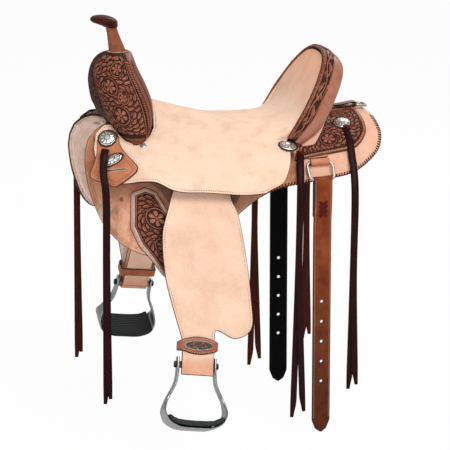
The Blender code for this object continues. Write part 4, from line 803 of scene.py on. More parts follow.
class Carving:
    """Raised flowers, leaves and stems, drawn in millimetres and laid on a surface.

    The first mark is the material of the tops and the second that of the cut sides."""

    def __init__(self, wrap, depth, bm=None, marks=(0, 1)):
        self.wrap, self.depth, self.marks = wrap, depth, marks
        self.bm = bm or bmesh.new()

    def vert(self, x, y, height):
        return self.bm.verts.new(self.wrap(x, y, height * self.depth))

    def ribbon(self, path, widths, section=ROUND, dark=()):
        """A strip along a path with a width at each point. Its outer faces and its dark ones are cut."""
        heights, out = section
        last = len(path) - 1
        rows = []
        for i, point in enumerate(path):
            run = (path[min(i + 1, last)] - path[max(i - 1, 0)]).normalized()
            side = Vector((-run.y, run.x))
            rows.append([self.vert(*(point + side * widths[i] * k), high) for k, high in zip(out, heights)])
        for one, two in zip(rows, rows[1:]):
            for j in range(len(out) - 1):
                cut = j in (0, len(out) - 2) or j in dark
                self.bm.faces.new((one[j], one[j + 1], two[j + 1], two[j])).material_index = self.marks[cut]

    def leaf(self, x, y, turn, reach, width, bend=0.0, lobes=3):
        """A lobed leaf, highest along its rim and cut down along its vein."""
        path, widths = [], []
        here, steps = Vector((x, y)), 18 if lobes else 9
        for i in range(steps + 1):
            t = i / steps
            path.append(here.copy())
            angle = turn + bend * (t - 0.2)
            here += Vector((math.cos(angle), math.sin(angle))) * reach / steps
            notch = 1.0 - 0.30 * abs(math.sin(math.pi * lobes * t)) ** 4
            widths.append(max(0.15, width / 2 * swell(t) * notch))
        self.ribbon(path, widths, LEAF, (3,))

    def covered(self, x, y, turn, reach, width, bend):
        """The millimetre cells that a leaf lies on, with a little ground round it."""
        cells = set()
        here = Vector((x, y))
        steps = max(4, int(reach))
        for i in range(steps + 1):
            t = i / steps
            angle = turn + bend * (t - 0.2)
            run = Vector((math.cos(angle), math.sin(angle)))
            half = int(width / 2 * swell(t) + 0.5)
            for k in range(-half, half + 1):
                cells.add((round(here.x - run.y * k), round(here.y + run.x * k)))
            here += run * reach / steps
        return cells

    def fill(self, outline, rounds, leaves=LEAVES):
        """Packs an outline with wreathed flowers, and with leaves that run round the wreaths."""
        (left, low), (right, high) = [[int(end(p[k] for p in outline)) for k in (0, 1)] for end in (min, max)]
        grid = [(x, y) for x in range(left, right + 2) for y in range(low, high + 2)]
        free = {cell for cell in grid if inside(cell, outline)}
        for order, (x, y, radius) in enumerate(rounds):
            self.flower(x, y, radius * 0.66, 0.4 + order, 6)
            path = [Vector(polar(x, y, radius * 0.86, order + 1.85 * math.pi * k / 40)) for k in range(41)]
            self.ribbon(path, [0.7 + 1.0 * k / 40 for k in range(41)])
            free = {c for c in free if math.hypot(c[0] - x, c[1] - y) > radius * 0.95}
        for reach, width in leaves:
            for cell in grid:
                if cell in free and (cell[0] + 2 * cell[1]) % 3 == 0:
                    free -= self.sprout(cell, free, rounds, reach, width)
        for x, y in sorted(free):
            around = {(x + i, y + j) for i in (-1, 0, 1) for j in (-1, 0, 1)}
            if around <= free:
                self.bead(x, y, 0.95)
                free -= around

    def sprout(self, cell, free, rounds, reach, width):
        """Adds the first leaf that fits on free ground at a cell, and says which cells it covers."""
        x, y = cell
        near = min(rounds, key=lambda r: math.hypot(x - r[0], y - r[1]) - r[2])
        flow = math.atan2(y - near[1], x - near[0]) + math.pi / 2
        for lean, bend in LEANS:
            tips = [polar(x, y, reach * k, flow + lean + bend * 0.3) for k in (0.5, 0.9)]
            if any((round(a), round(b)) not in free for a, b in tips):
                continue
            taken = self.covered(x, y, flow + lean, reach, width, bend)
            if taken <= free:
                self.leaf(x, y, flow + lean, reach, width, bend, 3 if reach > 10 else 0)
                return taken
        return set()

    def petal(self, x, y, turn, reach, width):
        path, widths = [], []
        run = Vector((math.cos(turn), math.sin(turn)))
        for i in range(10):
            t = i / 9
            path.append(Vector((x, y)) + run * reach * t)
            full = 0.30 + 0.70 * math.sin(math.pi * min(1.0, t * 0.62 + 0.02))
            widths.append(width / 2 * full * (1 - max(0, t - 0.75) ** 2 * 9))
        self.ribbon(path, widths, PETAL)

    def bead(self, x, y, radius, high=1.0):
        rings = []
        for share, height in ((1.0, 0.0), (0.85, 0.75), (0.5, 1.0)):
            rings.append([self.vert(*polar(x, y, radius * share, a), height * high) for a in circle(8)])
        bridge(self.bm, rings[0], rings[1], self.marks[1])
        bridge(self.bm, rings[1], rings[2], self.marks[0])
        self.bm.faces.new(rings[2]).material_index = self.marks[0]

    def flower(self, x, y, radius, turn, petals):
        for angle in circle(petals, turn):
            self.petal(*polar(x, y, radius * 0.26, angle), angle, radius * 0.74, radius * 3.9 / petals)
        self.bead(x, y, radius * 0.20, 1.25)
        for k in range(8):
            place = polar(x, y, radius * 0.29, turn + 2 * math.pi * (k + 0.5) / 8)
            self.bead(*place, radius * 0.065, 1.1)


def laid(net, u, s, height):
    """Lays a drawing in millimetres on a surface, its origin at (u, s)."""
    return lambda x, y, lift: over(net, u + x * MM, s + y * MM, height + lift)


# Seat, skirts and the leather sewn to them

def seat_outline():
    """The near half of the seat leather with its jockeys."""
    lower = [
        (-0.2905, 0.118), (-0.2890, 0.138), (-0.2820, 0.165), (-0.2680, 0.190), (-0.2440, 0.210),
        (-0.2120, 0.226), (-0.1860, 0.240), (-0.1600, 0.257), (-0.1320, 0.265), (-0.0890, 0.268),
        (-0.0200, 0.276), (0.0170, 0.276), (0.0700, 0.272), (0.1300, 0.268), (0.1850, 0.266), (0.2290, 0.262),
    ]
    front = [(-0.157, 0.0), (-0.160, 0.052), (-0.167, 0.090), (-0.179, 0.114), (-0.192, 0.128)]
    front += [(-0.212, 0.133)]
    front += [(-0.228, 0.120), (-0.241, 0.097), (-0.250, 0.081), (-0.265, 0.080), (-0.283, 0.092)]
    return front, pairs_of(smooth(lower, 4))


def skirt_outline():
    lower = [
        (-0.308, 0.148), (-0.305, 0.175), (-0.300, 0.203), (-0.290, 0.237), (-0.279, 0.266), (-0.261, 0.296),
        (-0.238, 0.320), (-0.205, 0.337), (-0.165, 0.342), (-0.120, 0.330), (-0.070, 0.300), (-0.016, 0.255),
        (0.030, 0.224), (0.077, 0.206), (0.130, 0.204), (0.194, 0.198), (0.230, 0.190), (0.262, 0.170),
        (0.290, 0.140), (0.301, 0.105), (0.300, 0.072),
    ]
    top = [(0.296, 0.040), (0.292, JOIN_S), (0.155, JOIN_S), (0.140, SPINE_S), (-0.235, SPINE_S)]
    top += [(-0.258, 0.052), (-0.281, 0.077), (-0.298, 0.098), (-0.306, 0.122)]
    return top + pairs_of(smooth(lower, 4))


KEEPER = [
    (-0.280, 0.105), (-0.268, 0.095), (-0.253, 0.094), (-0.241, 0.105), (-0.240, 0.129), (-0.231, 0.155),
    (-0.217, 0.186), (-0.216, 0.198), (-0.225, 0.205), (-0.255, 0.208), (-0.274, 0.190), (-0.297, 0.173),
    (-0.300, 0.162), (-0.291, 0.145), (-0.283, 0.124),
]
PLATE = [
    (-0.226, 0.212), (-0.200, 0.200), (-0.178, 0.206), (-0.158, 0.2405), (-0.126, 0.2405), (-0.120, 0.290),
    (-0.136, 0.345), (-0.154, 0.374), (-0.166, 0.379), (-0.180, 0.372), (-0.218, 0.318), (-0.231, 0.280),
]
REAR_JOCKEY = [
    (0.272, 0.058), (0.272, 0.082), (0.268, 0.106), (0.250, 0.132), (0.228, 0.144), (0.186, 0.151),
    (0.133, 0.156), (0.108, 0.158),
]


def softly(u, s):
    """Broad unevenness of a hide that has been wetted and pulled down."""
    broad = 0.35 * MM * math.sin(41.0 * u + 1.7) * math.sin(53.0 * s + 0.4)
    return broad + 0.15 * MM * math.sin(190 * u + 140 * s)


class SADDLE_OT_seat(bpy.types.Operator):
    """Builds the roughout seat with its jockeys, and finishes the tree under it"""

    bl_idname = "saddle.seat"
    bl_label = "Seat"

    def execute(self, context):
        front, lower = seat_outline()
        outline = front + lower + [(u, -s) for u, s in reversed(front[1:] + lower)]
        bm = hide(SEAT, outline, -SEAT_THICK, 0.0, 7.0 * MM, relief=softly)
        looks = ("roughout leather", "slicked edge", "woolskin")
        piece("seat", bm, looks, "saddle", ("seat_leather",))
        # One row of sewing runs along each jockey's edge and one round the foot of the fork
        edge = inset(walk(lower, 4.0 * MM, False), -5.5 * MM, False)
        foot = inset(walk(front, 4.0 * MM, False), -5.0 * MM, False)
        bm = bmesh.new()
        for side in (1.0, -1.0):
            for path in ([p for p in edge if p[0] < 0.222], foot):
                stitches(bm, SEAT, [(u, s * side) for u, s in path], 0.0, 0)
        piece("seat_stitching", bm, ("dark waxed thread",))
        # The tree's rawhide is darkened as painted shade where it shows under the seat.
        finishes = dict.fromkeys(("tree_bar_near", "tree_bar_off", "tree_fork", "tree_cantle"), "rawhide, darkened as painted shade")
        finishes.update({"ground_seat": "skirting leather, russet", "horn_core": "zinc-plated steel"})
        for name, finish in finishes.items():
            for slot in frame["nodes"][name].material_slots:
                slot.material = FINISH[finish]
        return {"FINISHED"}


class SADDLE_OT_skirts(bpy.types.Operator):
    """Builds the skirts with their laced edges, and the woolskin under them"""

    bl_idname = "saddle.skirts"
    bl_label = "Skirts"

    def execute(self, context):
        outline = skirt_outline()
        bm = hide(FLANK, outline, -SKIRT_THICK, 0.0, 8.0 * MM, relief=softly)
        # Faces behind x = 0.112 take the peach rear leather. The brown front leather reaches that far back to
        # paint the shade behind the seat's rear corner.
        for face in bm.faces:
            if face.material_index == 0 and face.calc_center_median().x > 0.112:
                face.material_index = 3
        looks = ("roughout leather, oiled brown with painted shade", "slicked edge", "woolskin", "roughout leather, peach")
        both("skirt", bm, looks, "saddle", "skirt")
        ring = inset(walk(outline, 5.0 * MM), 4.0 * MM)
        wool = hide(FLANK, ring, -SKIRT_THICK - FLEECE_THICK, -SKIRT_THICK - GAP, 7.0 * MM, marks=(0, 0, 0))
        for vert in wool.verts:
            x, y, z = vert.co * 1000
            tuft = math.sin(x * 0.71 + y * 0.35) * math.sin(y * 0.93 - z * 0.41)
            tuft *= math.sin(z * 0.83 + x * 0.22)
            vert.co += vert.normal * (tuft * 1.1 - 0.9) * MM
        both("woolskin", wool, ("woolskin",), "saddle", "fleece", sharp=180.0)
        self.sewing(outline)
        return {"FINISHED"}

    def sewing(self, outline):
        """Two rows of thread round the front of each skirt, and a whipped edge behind the seat."""
        bm = bmesh.new()
        ring = walk(outline, 4.0 * MM)
        for distance in (6.0 * MM, 9.5 * MM):
            row = inset(ring, distance)
            stitches(bm, FLANK, [p for p in row if p[1] > 0.05 and p[0] < 0.0], 0.0, 1)
        whipped = [p for p in ring if p[1] > 0.045 and p[0] > 0.05]
        whipped.sort(key=lambda p: math.atan2(p[1] - 0.08, p[0] - 0.16))
        self.whip(bm, whipped)
        both("skirt_sewing", bm, ("latigo leather, knots", "dark waxed thread"))

    def whip(self, bm, path):
        """Lace wrapped over the edge, one turn every 6 mm."""
        middle = Vector((0.16, 0.08))
        # How far in each point of a turn lies, how high it stands and how far it slides along, in millimetres
        turn = ((6.0, -0.2, 0.0), (5.6, 0.9, 0.0), (0.0, 0.9, 1.2), (-1.1, 0.3, 1.6), (-1.1, -5.3, 1.6),
                (4.0, -5.6, 2.6))
        spots = [Vector(p) for p in walk(path, 6.0 * MM, False)]
        for here, after in zip(spots, spots[1:]):
            run = (after - here).normalized()
            inward = Vector((-run.y, run.x))
            if (middle - here).dot(inward) < 0:
                inward = -inward
            rows = []
            for reach, height, slide in turn:
                row = [here + inward * reach * MM + run * (slide + wide) * MM for wide in (-1.5, 1.5)]
                rows.append([bm.verts.new(over(FLANK, flat.x, flat.y, height * MM)) for flat in row])
            for one, two in zip(rows, rows[1:]):
                bridge(bm, one, two, 0, False)


# Fork and horn

# The fork's level slices: height, half width, front and rear
FORK_LEVELS = (
    (0.2200, 0.018, -0.238, -0.200),
    (0.2190, 0.028, -0.243, -0.194),
    (0.208, 0.056, -0.2605, -0.190),
    (0.188, 0.080, -0.272, -0.183),
    (0.160, 0.106, -0.275, -0.170),
    (0.130, 0.127, -0.2715, -0.160),
    (0.100, 0.137, -0.262, -0.159),
    (0.075, 0.138, -0.248, -0.166),
    (0.052, 0.132, -0.236, -0.178),
    (0.020, 0.122, -0.228, -0.195),
)
FORK_COLUMNS = 144
GULLET_HALF = 0.0795
GULLET_HIGH = 0.0825
GULLET_SPRING = 0.02


def fork_ring(level):
    """A level slice of the fork, from its near rear quarter round by the front, evenly spaced."""
    height, half, front, rear = level
    middle, reach = (front + rear) / 2, (rear - front) / 2
    ring = []
    for i in range(192):
        angle = -2 * math.pi * i / 192
        c, s = math.cos(angle), math.sin(angle)
        narrow = 1.0 - 0.20 * max(0.0, -c) - 0.10 * max(0.0, c) ** 1.24
        ring.append((middle + reach * bulged(c, 0.62), half * narrow * bulged(s, 0.85)))
    girth = sum(math.dist(a, b) for a, b in zip(ring, ring[1:] + ring[:1]))
    ring = [Vector((x, y, height)) for x, y in walk(ring, girth / FORK_COLUMNS)]
    while len(ring) < FORK_COLUMNS:
        ring.append(ring[-1].lerp(ring[0], 0.5))
    return ring[:FORK_COLUMNS]


def floor_under(x, y):
    """The height of the skirts' outer face under a point."""
    s = 0.0
    while s < 0.25 and -FLANK.at(x, s)[0].y < abs(y):
        s += 0.003
    return FLANK.at(x, s)[0].z


class ForkSkin:
    """The fork's face: u runs round it from the middle of the rear by the near side, 1 to a quarter turn,
    and s is the height."""

    def __init__(self):
        rows = [Vector(level) for level in FORK_LEVELS]
        padded = rows[:1] + rows + rows[-1:]
        levels = []
        for i in range(len(rows) - 1):
            steps = 1 if i == 0 else 4
            levels += [spline(*padded[i : i + 4], j / steps) for j in range(steps)]
        self.rings = [fork_ring(level) for level in levels + [rows[-1]]]
        self.heights = [ring[0].z for ring in self.rings]
        self.girths = [sum((a - b).length for a, b in zip(ring, ring[1:] + ring[:1])) for ring in self.rings]

    def nearest(self, height):
        return min(range(len(self.heights)), key=lambda k: abs(self.heights[k] - height))

    def point(self, u, s):
        levels = self.heights
        j = 0
        while j < len(levels) - 2 and levels[j + 1] > s:
            j += 1
        share = min(1.0, max(0.0, (levels[j] - s) / max(1e-6, levels[j] - levels[j + 1])))
        a = (u / 4.0) % 1.0 * FORK_COLUMNS
        i = int(a) % FORK_COLUMNS
        a -= int(a)
        k = (i + 1) % FORK_COLUMNS
        top = self.rings[j][i].lerp(self.rings[j][k], a)
        return top.lerp(self.rings[j + 1][i].lerp(self.rings[j + 1][k], a), share)

    def quarter(self, s):
        """A quarter of the way round at a height, in millimetres."""
        return self.girths[self.nearest(s)] / 4 / MM

    def drawn(self, middle, height):
        """Lays a drawing in millimetres with its origin at a turn and a height."""

        def wrap(x, y, lift):
            s = height + y * MM
            return over(self, middle + x / self.quarter(s), s, 0.1 * MM + lift)

        return wrap

    def turned_at(self, place):
        """How far round the fork a point lies."""
        ring = self.rings[self.nearest(place.z)]
        return 4.0 * min(range(FORK_COLUMNS), key=lambda i: (ring[i] - place).length_squared) / FORK_COLUMNS

    def at(self, u, s):
        step = 3.0 * MM
        run = self.point(u + 0.03, s) - self.point(u - 0.03, s)
        rise = self.point(u, s + step) - self.point(u, s - step)
        normal = run.cross(rise).normalized()
        here = self.point(u, s)
        middle = Vector((-0.215, 0.0, 0.12))
        return here, -normal if normal.dot(here - middle) < 0 else normal


def crease(s):
    """How far round the near side turns into the front, by height."""
    return 1.45 + 0.10 * ease(0.075, 0.130, s) + 0.32 * ease(0.130, 0.205, s)


class SADDLE_OT_fork(bpy.types.Operator):
    """Builds the fork's carved cover"""

    bl_idname = "saddle.fork"
    bl_label = "Fork"

    def execute(self, context):
        face_of = ForkSkin()
        bm = self.cover(context, face_of)
        for face in bm.faces:
            middle = face.calc_center_median()
            turn = face_of.turned_at(middle)
            bore = math.hypot(middle.y / GULLET_HALF, max(0.0, middle.z - GULLET_SPRING) / GULLET_HIGH) < 1.01
            if bore or turn < 0.81 or turn > 3.19 or middle.z < 0.071:
                face.material_index = 1
        looks = ("carved leather, matted ground", "skirting leather, fork")
        piece("fork", bm, looks, "saddle", ("fork_cover",), sharp=50.0)
        self.tooling(face_of)
        self.borders(face_of)
        return {"FINISHED"}

    def cover(self, context, face_of):
        """The fork's block, seated on the skirts and cut by the gullet."""
        rings = [[p.copy() for p in ring] for ring in face_of.rings]
        for ring, clear in [(rings[-1], 0.6 * MM)] + [(ring, 1.2 * MM) for ring in rings[-5:-1]]:
            for p in ring:
                p.z = max(p.z, floor_under(p.x, p.y) + clear)
        bend = arc((0.0, 0.0), 1.0, 0.0, math.pi, 40)
        outline = [(GULLET_HALF * a, GULLET_SPRING + GULLET_HIGH * b) for a, b in bend]
        outline = [(GULLET_HALF, -0.08)] + outline + [(-GULLET_HALF, -0.08)]
        block = solid("fork_block", loft(rings))
        cutter = solid("fork_tunnel", loft([[Vector((x, y, z)) for y, z in outline] for x in (-0.36, -0.10)]))
        cut = block.modifiers.new("gullet", "BOOLEAN")
        cut.object, cut.operation, cut.solver = cutter, "DIFFERENCE", "EXACT"
        bm = bmesh.new()
        bm.from_mesh(bpy.data.meshes.new_from_object(block.evaluated_get(context.evaluated_depsgraph_get())))
        for item in (block, cutter):
            bpy.data.objects.remove(item)
        return bm

    def tooling(self, face_of):
        """Flowers on each side, from the crease to the plain strip, and on the front between the creases."""
        depth = sizes().carving * 1.1
        middle, height = 1.2, 0.120
        levels = [blend(0.077, 0.217, i / 14) for i in range(15)]
        spots = [(crease(s) - 0.03, s) for s in levels] + [(0.90, s) for s in reversed(levels)]
        field = [((u - middle) * face_of.quarter(s), (s - height) / MM) for u, s in spots]
        carving = Carving(face_of.drawn(middle, height), depth)
        carving.fill(field, ((-2.0, -6.0, 21.0), (9.0, 46.0, 18.0), (-15.0, 26.0, 11.5), (-9.0, 76.0, 14.0)))
        both("fork_carving", carving.bm, ("carved leather, tops", "carved leather, cut sides"))
        middle, height = 2.0, 0.150
        levels = [blend(0.112, 0.205, i / 10) for i in range(11)]
        spots = [(crease(s) + 0.06, s) for s in levels] + [(3.94 - crease(s), s) for s in reversed(levels)]
        field = [((u - middle) * face_of.quarter(s), (s - height) / MM) for u, s in spots]
        front = Carving(face_of.drawn(middle, height), depth)
        front.fill(field, ((0.0, 12.0, 21.0), (-42.0, 2.0, 14.0), (42.0, 2.0, 14.0)))
        # The front's tops are darkened as painted shade.
        looks = ("carved leather, tops in painted shade", "carved leather, cut sides")
        piece("fork_front_carving", front.bm, looks)

    def borders(self, face_of):
        """A bound crease beside the front, a rope and two creased lines beside the rear, and a plain foot."""
        bm = bmesh.new()
        levels = [blend(0.066, 0.210, i / 44) for i in range(45)]
        for start, reach, high, mark in ((0.0, 0.022, 1.6, 0), (0.034, 0.006, 0.9, 1)):
            self.strip(bm, face_of, [(crease(s) - start, s) for s in levels], reach, high, mark)
        for turn, reach, high, mark in ((0.78, 0.010, 1.2, 0), (0.885, 0.008, 1.1, 1), (0.66, 0.006, 0.9, 2)):
            self.strip(bm, face_of, [(turn, s) for s in levels], reach, high, mark)
        rope = Carving(face_of.drawn(0.832, 0.078), sizes().carving * 1.1, bm, (1, 2))
        for i in range(30):
            y = i * 4.4
            rope.ribbon([Vector((-3.0, y - 1.8)), Vector((0.0, y)), Vector((3.0, y + 1.8))], [1.0, 1.9, 1.0])
        shares = [i / 60 for i in range(61)]
        foot = [(blend(0.10, 1.90, share), 0.067 + 0.004 * math.cos(share * math.pi * 2)) for share in shares]
        for drop in (0.0, 7.0):

            def along_foot(x, y, lift):
                u, s = foot[min(60, max(0, round(x)))]
                return over(face_of, u, s + (y - drop) * MM, 0.1 * MM + lift)

            line = Carving(along_foot, 0.9 * MM, bm, (0, 2))
            line.ribbon([Vector((k, 0.0)) for k in range(61)], [1.1] * 61)
        looks = ("skirting leather, fork", "carved leather, tops", "carved leather, cut sides")
        both("fork_borders", bm, looks)
        bm = bmesh.new()
        seam = [tuple(over(face_of, crease(s), s, 1.8 * MM)) for s in levels]
        spots = [Vector(p) for p in walk(seam, 4.8 * MM, False)]
        for one, two in zip(spots, spots[1:]):
            tube([one.lerp(two, 0.15), one.lerp(two, 0.5), one.lerp(two, 0.80)], 0.5 * MM, 5, 0, bm)
        both("fork_stitching", bm, ("dark waxed thread",))

    def strip(self, bm, face_of, spine, reach, high, mark):
        """A raised line up the fork, reach quarter turns to each side."""
        section = ((1.0, 0.0), (0.75, 0.85), (0.0, 1.0), (-0.75, 0.85), (-1.0, 0.0))
        rows = []
        for u, s in spine:
            row = [over(face_of, u + reach * k, s, (0.1 + lift * high) * MM) for k, lift in section]
            rows.append([bm.verts.new(p) for p in row])
        for one, two in zip(rows, rows[1:]):
            for j, index in enumerate((2, mark, mark, 2)):
                bm.faces.new((one[j], one[j + 1], two[j + 1], two[j])).material_index = index


# The horn's cap, from below: its height, and its reach along and across the saddle, in millimetres
CAP = (
    (-13.2, 12.0, 11.5), (-11.0, 15.0, 15.4), (-8.0, 20.2, 21.2), (-5.0, 24.4, 25.8), (-2.6, 26.8, 28.2),
    (-1.6, 26.3, 27.7), (-0.8, 27.4, 28.9), (1.6, 27.6, 29.1), (4.0, 26.9, 28.4), (5.0, 25.6, 27.0),
    (5.6, 24.9, 26.2), (6.6, 23.9, 25.2), (7.7, 20.4, 21.6), (8.5, 15.0, 16.0), (8.9, 8.0, 8.5),
    (9.0, 2.0, 2.0),
)


class SADDLE_OT_horn(bpy.types.Operator):
    """Builds the wrapped neck of the horn and its leather cap"""

    bl_idname = "saddle.horn"
    bl_label = "Horn"

    def execute(self, context):
        foot, head = Vector((-0.2195, 0.0, 0.2170)), Vector((-0.2338, 0.0, 0.2725))
        rings = []
        for i in range(25):
            share = i / 24
            radius = blend(19.2, 11.2, ease(-0.3, 1.0, share)) + 3.4 * ease(0.10, 0.0, share)
            radius = (radius + 0.12 * math.cos(share * 40.0)) * MM
            centre = foot.lerp(head, share)
            sides = [Vector((math.cos(a), math.sin(a), -0.10 * math.cos(a))) for a in circle(40)]
            rings.append([centre + side * radius for side in sides])
        looks = ("skirting leather, horn",)
        piece("horn_neck", loft(rings), looks, "saddle", ("horn_wrap",), 60.0)
        bm = bmesh.new()
        for angle in circle(26):
            place = foot + Vector((math.cos(angle) * 20.6, math.sin(angle) * 20.6, 4.6)) * MM
            along = Vector((-math.sin(angle), math.cos(angle), 0.0)) * 1.5 * MM
            tube([place - along, place, place + along], 0.55 * MM, 5, 0, bm)
        piece("horn_stitching", bm, ("waxed thread",))
        centre, tilt = Vector((-0.2475, 0.0, 0.2842)), math.radians(2.0)
        normal = Vector((math.sin(tilt), 0.0, math.cos(tilt)))
        along, across = Vector((math.cos(tilt), 0.0, -math.sin(tilt))), Vector((0.0, 1.0, 0.0))
        rings = []
        for height, long, wide in CAP:
            middle = centre + Vector((0.011, 0.0, 0.0)) * ease(0.0, -13.2, height) + normal * height * MM
            rings.append([])
            for a in circle(48):
                p = middle + along * long * MM * math.cos(a) + across * wide * MM * math.sin(a)
                p.z -= 5.0 * MM * max(0.0, (p.x - centre.x + 0.004) / 0.03) ** 2
                rings[-1].append(p)
        piece("horn_top", loft(rings), ("latigo leather, cap",), "saddle", ("horn_cap",), 60.0)
        return {"FINISHED"}


# Cantle

def rim_spots(count, end_s):
    """Points along the cantle's rim, each with its outward direction and how far the hide's edge reaches."""
    found = []
    rim = SEAT_REAR + SEAT_REACH
    for i in range(count + 1):
        s = blend(-end_s, end_s, i / count)
        point, normal = SEAT.at(rim, s)
        run = SEAT.at(rim, s + 0.006)[0] - SEAT.at(rim, s - 0.006)[0]
        outward = run.cross(CANTLE_BACK).normalized()
        outward = (outward - CANTLE_BACK * outward.dot(CANTLE_BACK)).normalized()
        found.append((s, point, outward, max(0.0, -normal.dot(outward) * SEAT_THICK)))
    return found


class RollSkin:
    """The outer face of the cantle roll: u runs along the rim, s back from its front edge."""

    columns = 150

    def __init__(self):
        self.end = CANTLE_END_S - 0.005
        self.rows = [self.section(*place) for place in rim_spots(self.columns, self.end)]

    def section(self, s, point, outward, reach):
        """The points over the roll and those back under it, both from the front."""
        full = ease(CANTLE_END_S + 0.010, CANTLE_END_S - 0.036, abs(s))
        depth, high = blend(24.0, 48.0, full) * MM, blend(6.0, 10.0, full) * MM
        under = reach + blend(3.0, 1.2, full) * MM
        outer = [(under * 0.7, -3.4 * MM), (under + high * 0.62, 0.6 * MM)]
        outer += [(under + high * 0.9, depth * 0.30), (under + high * 0.75, depth * 0.72)]
        outer += [(high * 0.25, depth)]
        inner = [(high * 0.25 - 3.6 * MM, depth - 2.5 * MM)]
        inner += [(under + high * 0.75 - 4.5 * MM, depth * 0.66), (under, depth * 0.40)]
        lines = (smooth(outer, 6), inner)
        return [[point + outward * a + CANTLE_BACK * b for a, b in line] for line in lines]

    def point(self, u, s):
        a = min(max((u + self.end) / (2 * self.end), 0.0), 0.9999) * self.columns
        i = int(a)
        line = [p.lerp(q, a - i) for p, q in zip(self.rows[i][0], self.rows[min(i + 1, self.columns)][0])]
        for p, q in zip(line, line[1:]):
            step = (q - p).length
            if s <= step:
                return p.lerp(q, s / step)
            s -= step
        return line[-1]

    def at(self, u, s):
        run = self.point(u + 0.003, s) - self.point(u - 0.003, s)
        fall = self.point(u, s + 0.002) - self.point(u, max(0.0, s - 0.002))
        normal = run.cross(fall).normalized()
        here = self.point(u, s)
        middle = CANTLE_TOP - CANTLE_LEAN * 0.10 + CANTLE_BACK * 0.02
        return here, -normal if normal.dot(here - middle) < 0 else normal


# The vine's leaves in one half wave: where each starts, its turn, length, width, bend and lobes
VINE = (
    (-4.0, -2.2, -0.7, 19.0, 7.6, 1.5, 2), (-11.0, -7.6, 2.2, 10.0, 4.6, -0.9, 0),
    (10.0, -4.6, 0.9, 10.0, 4.4, -0.8, 0), (1.0, 2.6, 2.5, 8.0, 3.6, 0.8, 0),
    (-1.5, 2.6, 0.9, 8.0, 3.6, -0.8, 0),
)


class SADDLE_OT_cantle(bpy.types.Operator):
    """Builds the carved cantle roll and the leather behind the cantle"""

    bl_idname = "saddle.cantle"
    bl_label = "Cantle"

    def execute(self, context):
        roll = RollSkin()
        rings = [outer + inner for outer, inner in roll.rows]
        marks = [3, 3, 2, 2, 2, 2, 2] + [1] * 7 + [0] * 10 + [3, 2, 2, 2]
        looks = ("skirting leather, roll", "carved leather, matted ground", "skirting leather, horn")
        looks += ("slicked edge",)
        piece("cantle_roll", loft(rings, marks=marks), looks, "saddle", ("cantle_binding",), 50.0)
        self.vine(roll)
        self.behind()
        return {"FINISHED"}

    def vine(self, roll):
        """A scrolling vine between two beads, with a row of punched dots in front of it."""

        def wrap(x, y, lift):
            squeeze = blend(0.55, 1.0, ease(CANTLE_END_S + 0.004, CANTLE_END_S - 0.036, abs(x) * MM))
            return over(roll, x * MM, y * squeeze * MM, 0.05 * MM + lift)

        carving = Carving(wrap, sizes().carving)
        top, wave, length_mm = 18.0, 4.4, 9.6
        along = range(-142, 143, 2)
        carving.ribbon([Vector((x, top + wave * math.sin(x / length_mm))) for x in along], [1.5] * len(along))
        for k in range(-5, 5):
            middle = (k + 0.5) * length_mm * math.pi
            crest = math.sin(middle / length_mm)
            hand = math.copysign(1.0, crest)
            y = top + wave * crest
            for a, b, turn, reach, width, bend, lobes in VINE:
                carving.leaf(middle + a, y + hand * b, hand * turn, reach, width, hand * bend, lobes)
            carving.bead(middle + 13.5, y - hand * 8.2, 2.0, 1.2)
        for y, ripple, width in ((9.8, 0.0, 0.7), (26.6, 0.9, 0.9)):
            carving.ribbon([Vector((x, y + ripple * math.sin(x / 4.8))) for x in along], [width] * len(along))
        piece("cantle_vine", carving.bm, ("carved leather, tops", "carved leather, cut sides"))
        dots = Carving(laid(roll, 0.0, 0.0, 0.02 * MM), 0.5 * MM)
        for k in range(-22, 23):
            dots.bead(k * 6.0, 5.6, sizes().dot / MM)
        piece("cantle_dots", dots.bm, ("dark waxed thread", "slicked edge"))

    def behind(self):
        """The leather down the back of the cantle, which swells out towards its ends."""
        rings = []
        for s, point, outward, reach in rim_spots(60, CANTLE_END_S - 0.022):
            flare = ease(0.055, 0.105, abs(s))
            high = point - outward * 2.0 * MM + CANTLE_BACK * (25.4 + 6.0 * flare) * MM
            floor = floor_under(high.x - 0.05, high.y) + 13.0 * MM
            low = high - CANTLE_LEAN * max(12.0 * MM, (high.z - floor) / CANTLE_LEAN.z)
            ring = [high.lerp(low, k / 10) for k in range(11)]
            bulge = [math.sin(math.pi * (k / 10) ** 0.8) * (2.0 + 17.0 * flare) * MM for k in range(11)]
            outer = [p + CANTLE_BACK * (3.5 * MM + b) for p, b in zip(ring, bulge)]
            rings.append(ring + outer[::-1])
        looks = ("roughout leather, peach",)
        piece("cantle_rear_leather", loft(rings), looks, "saddle", ("cantle_back",), 60.0)


# Rigging

def tooled(name, node_name, outline, top, middle, rounds, widths, looks):
    """A carved plate on each flank. widths are the outer edges of its bevel and its rise, then how far in the
    sewing and the carving lie, and a second line where there is one, all in millimetres."""
    bevel, rise, seam, field, lines = widths
    bm = hide(FLANK, outline, GAP, top, 7.0 * MM, marks=(2, 3, 3))
    for near, far, high, mark in ((1.0, bevel, rise, 4),) + lines:
        band(bm, FLANK, outline, near * MM, far * MM, top - 0.3 * MM, top + high * MM, mark)
    carving = Carving(laid(FLANK, *middle, top), sizes().carving, bm)
    ring = inset(walk(outline, field[0] * MM), field[1] * MM)
    carving.fill([((u - middle[0]) / MM, (s - middle[1]) / MM) for u, s in ring], rounds)
    stitches(bm, FLANK, inset(walk(outline, 4.0 * MM), seam * MM), top + (rise - 0.05) * MM, 5, True)
    carved = ("carved leather, tops", "carved leather, cut sides", "carved leather, matted ground")
    both(name, bm, carved + ("slicked edge",) + looks, "saddle", node_name)


def rectangle(a, b):
    """A rectangle with rounded corners, from its half-widths."""
    quarter = [(a, b * 0.7), (a * 0.8, b), (-a * 0.8, b), (-a, b * 0.7)]
    return pairs_of(smooth(quarter + [(-x, -y) for x, y in quarter], 3, True))


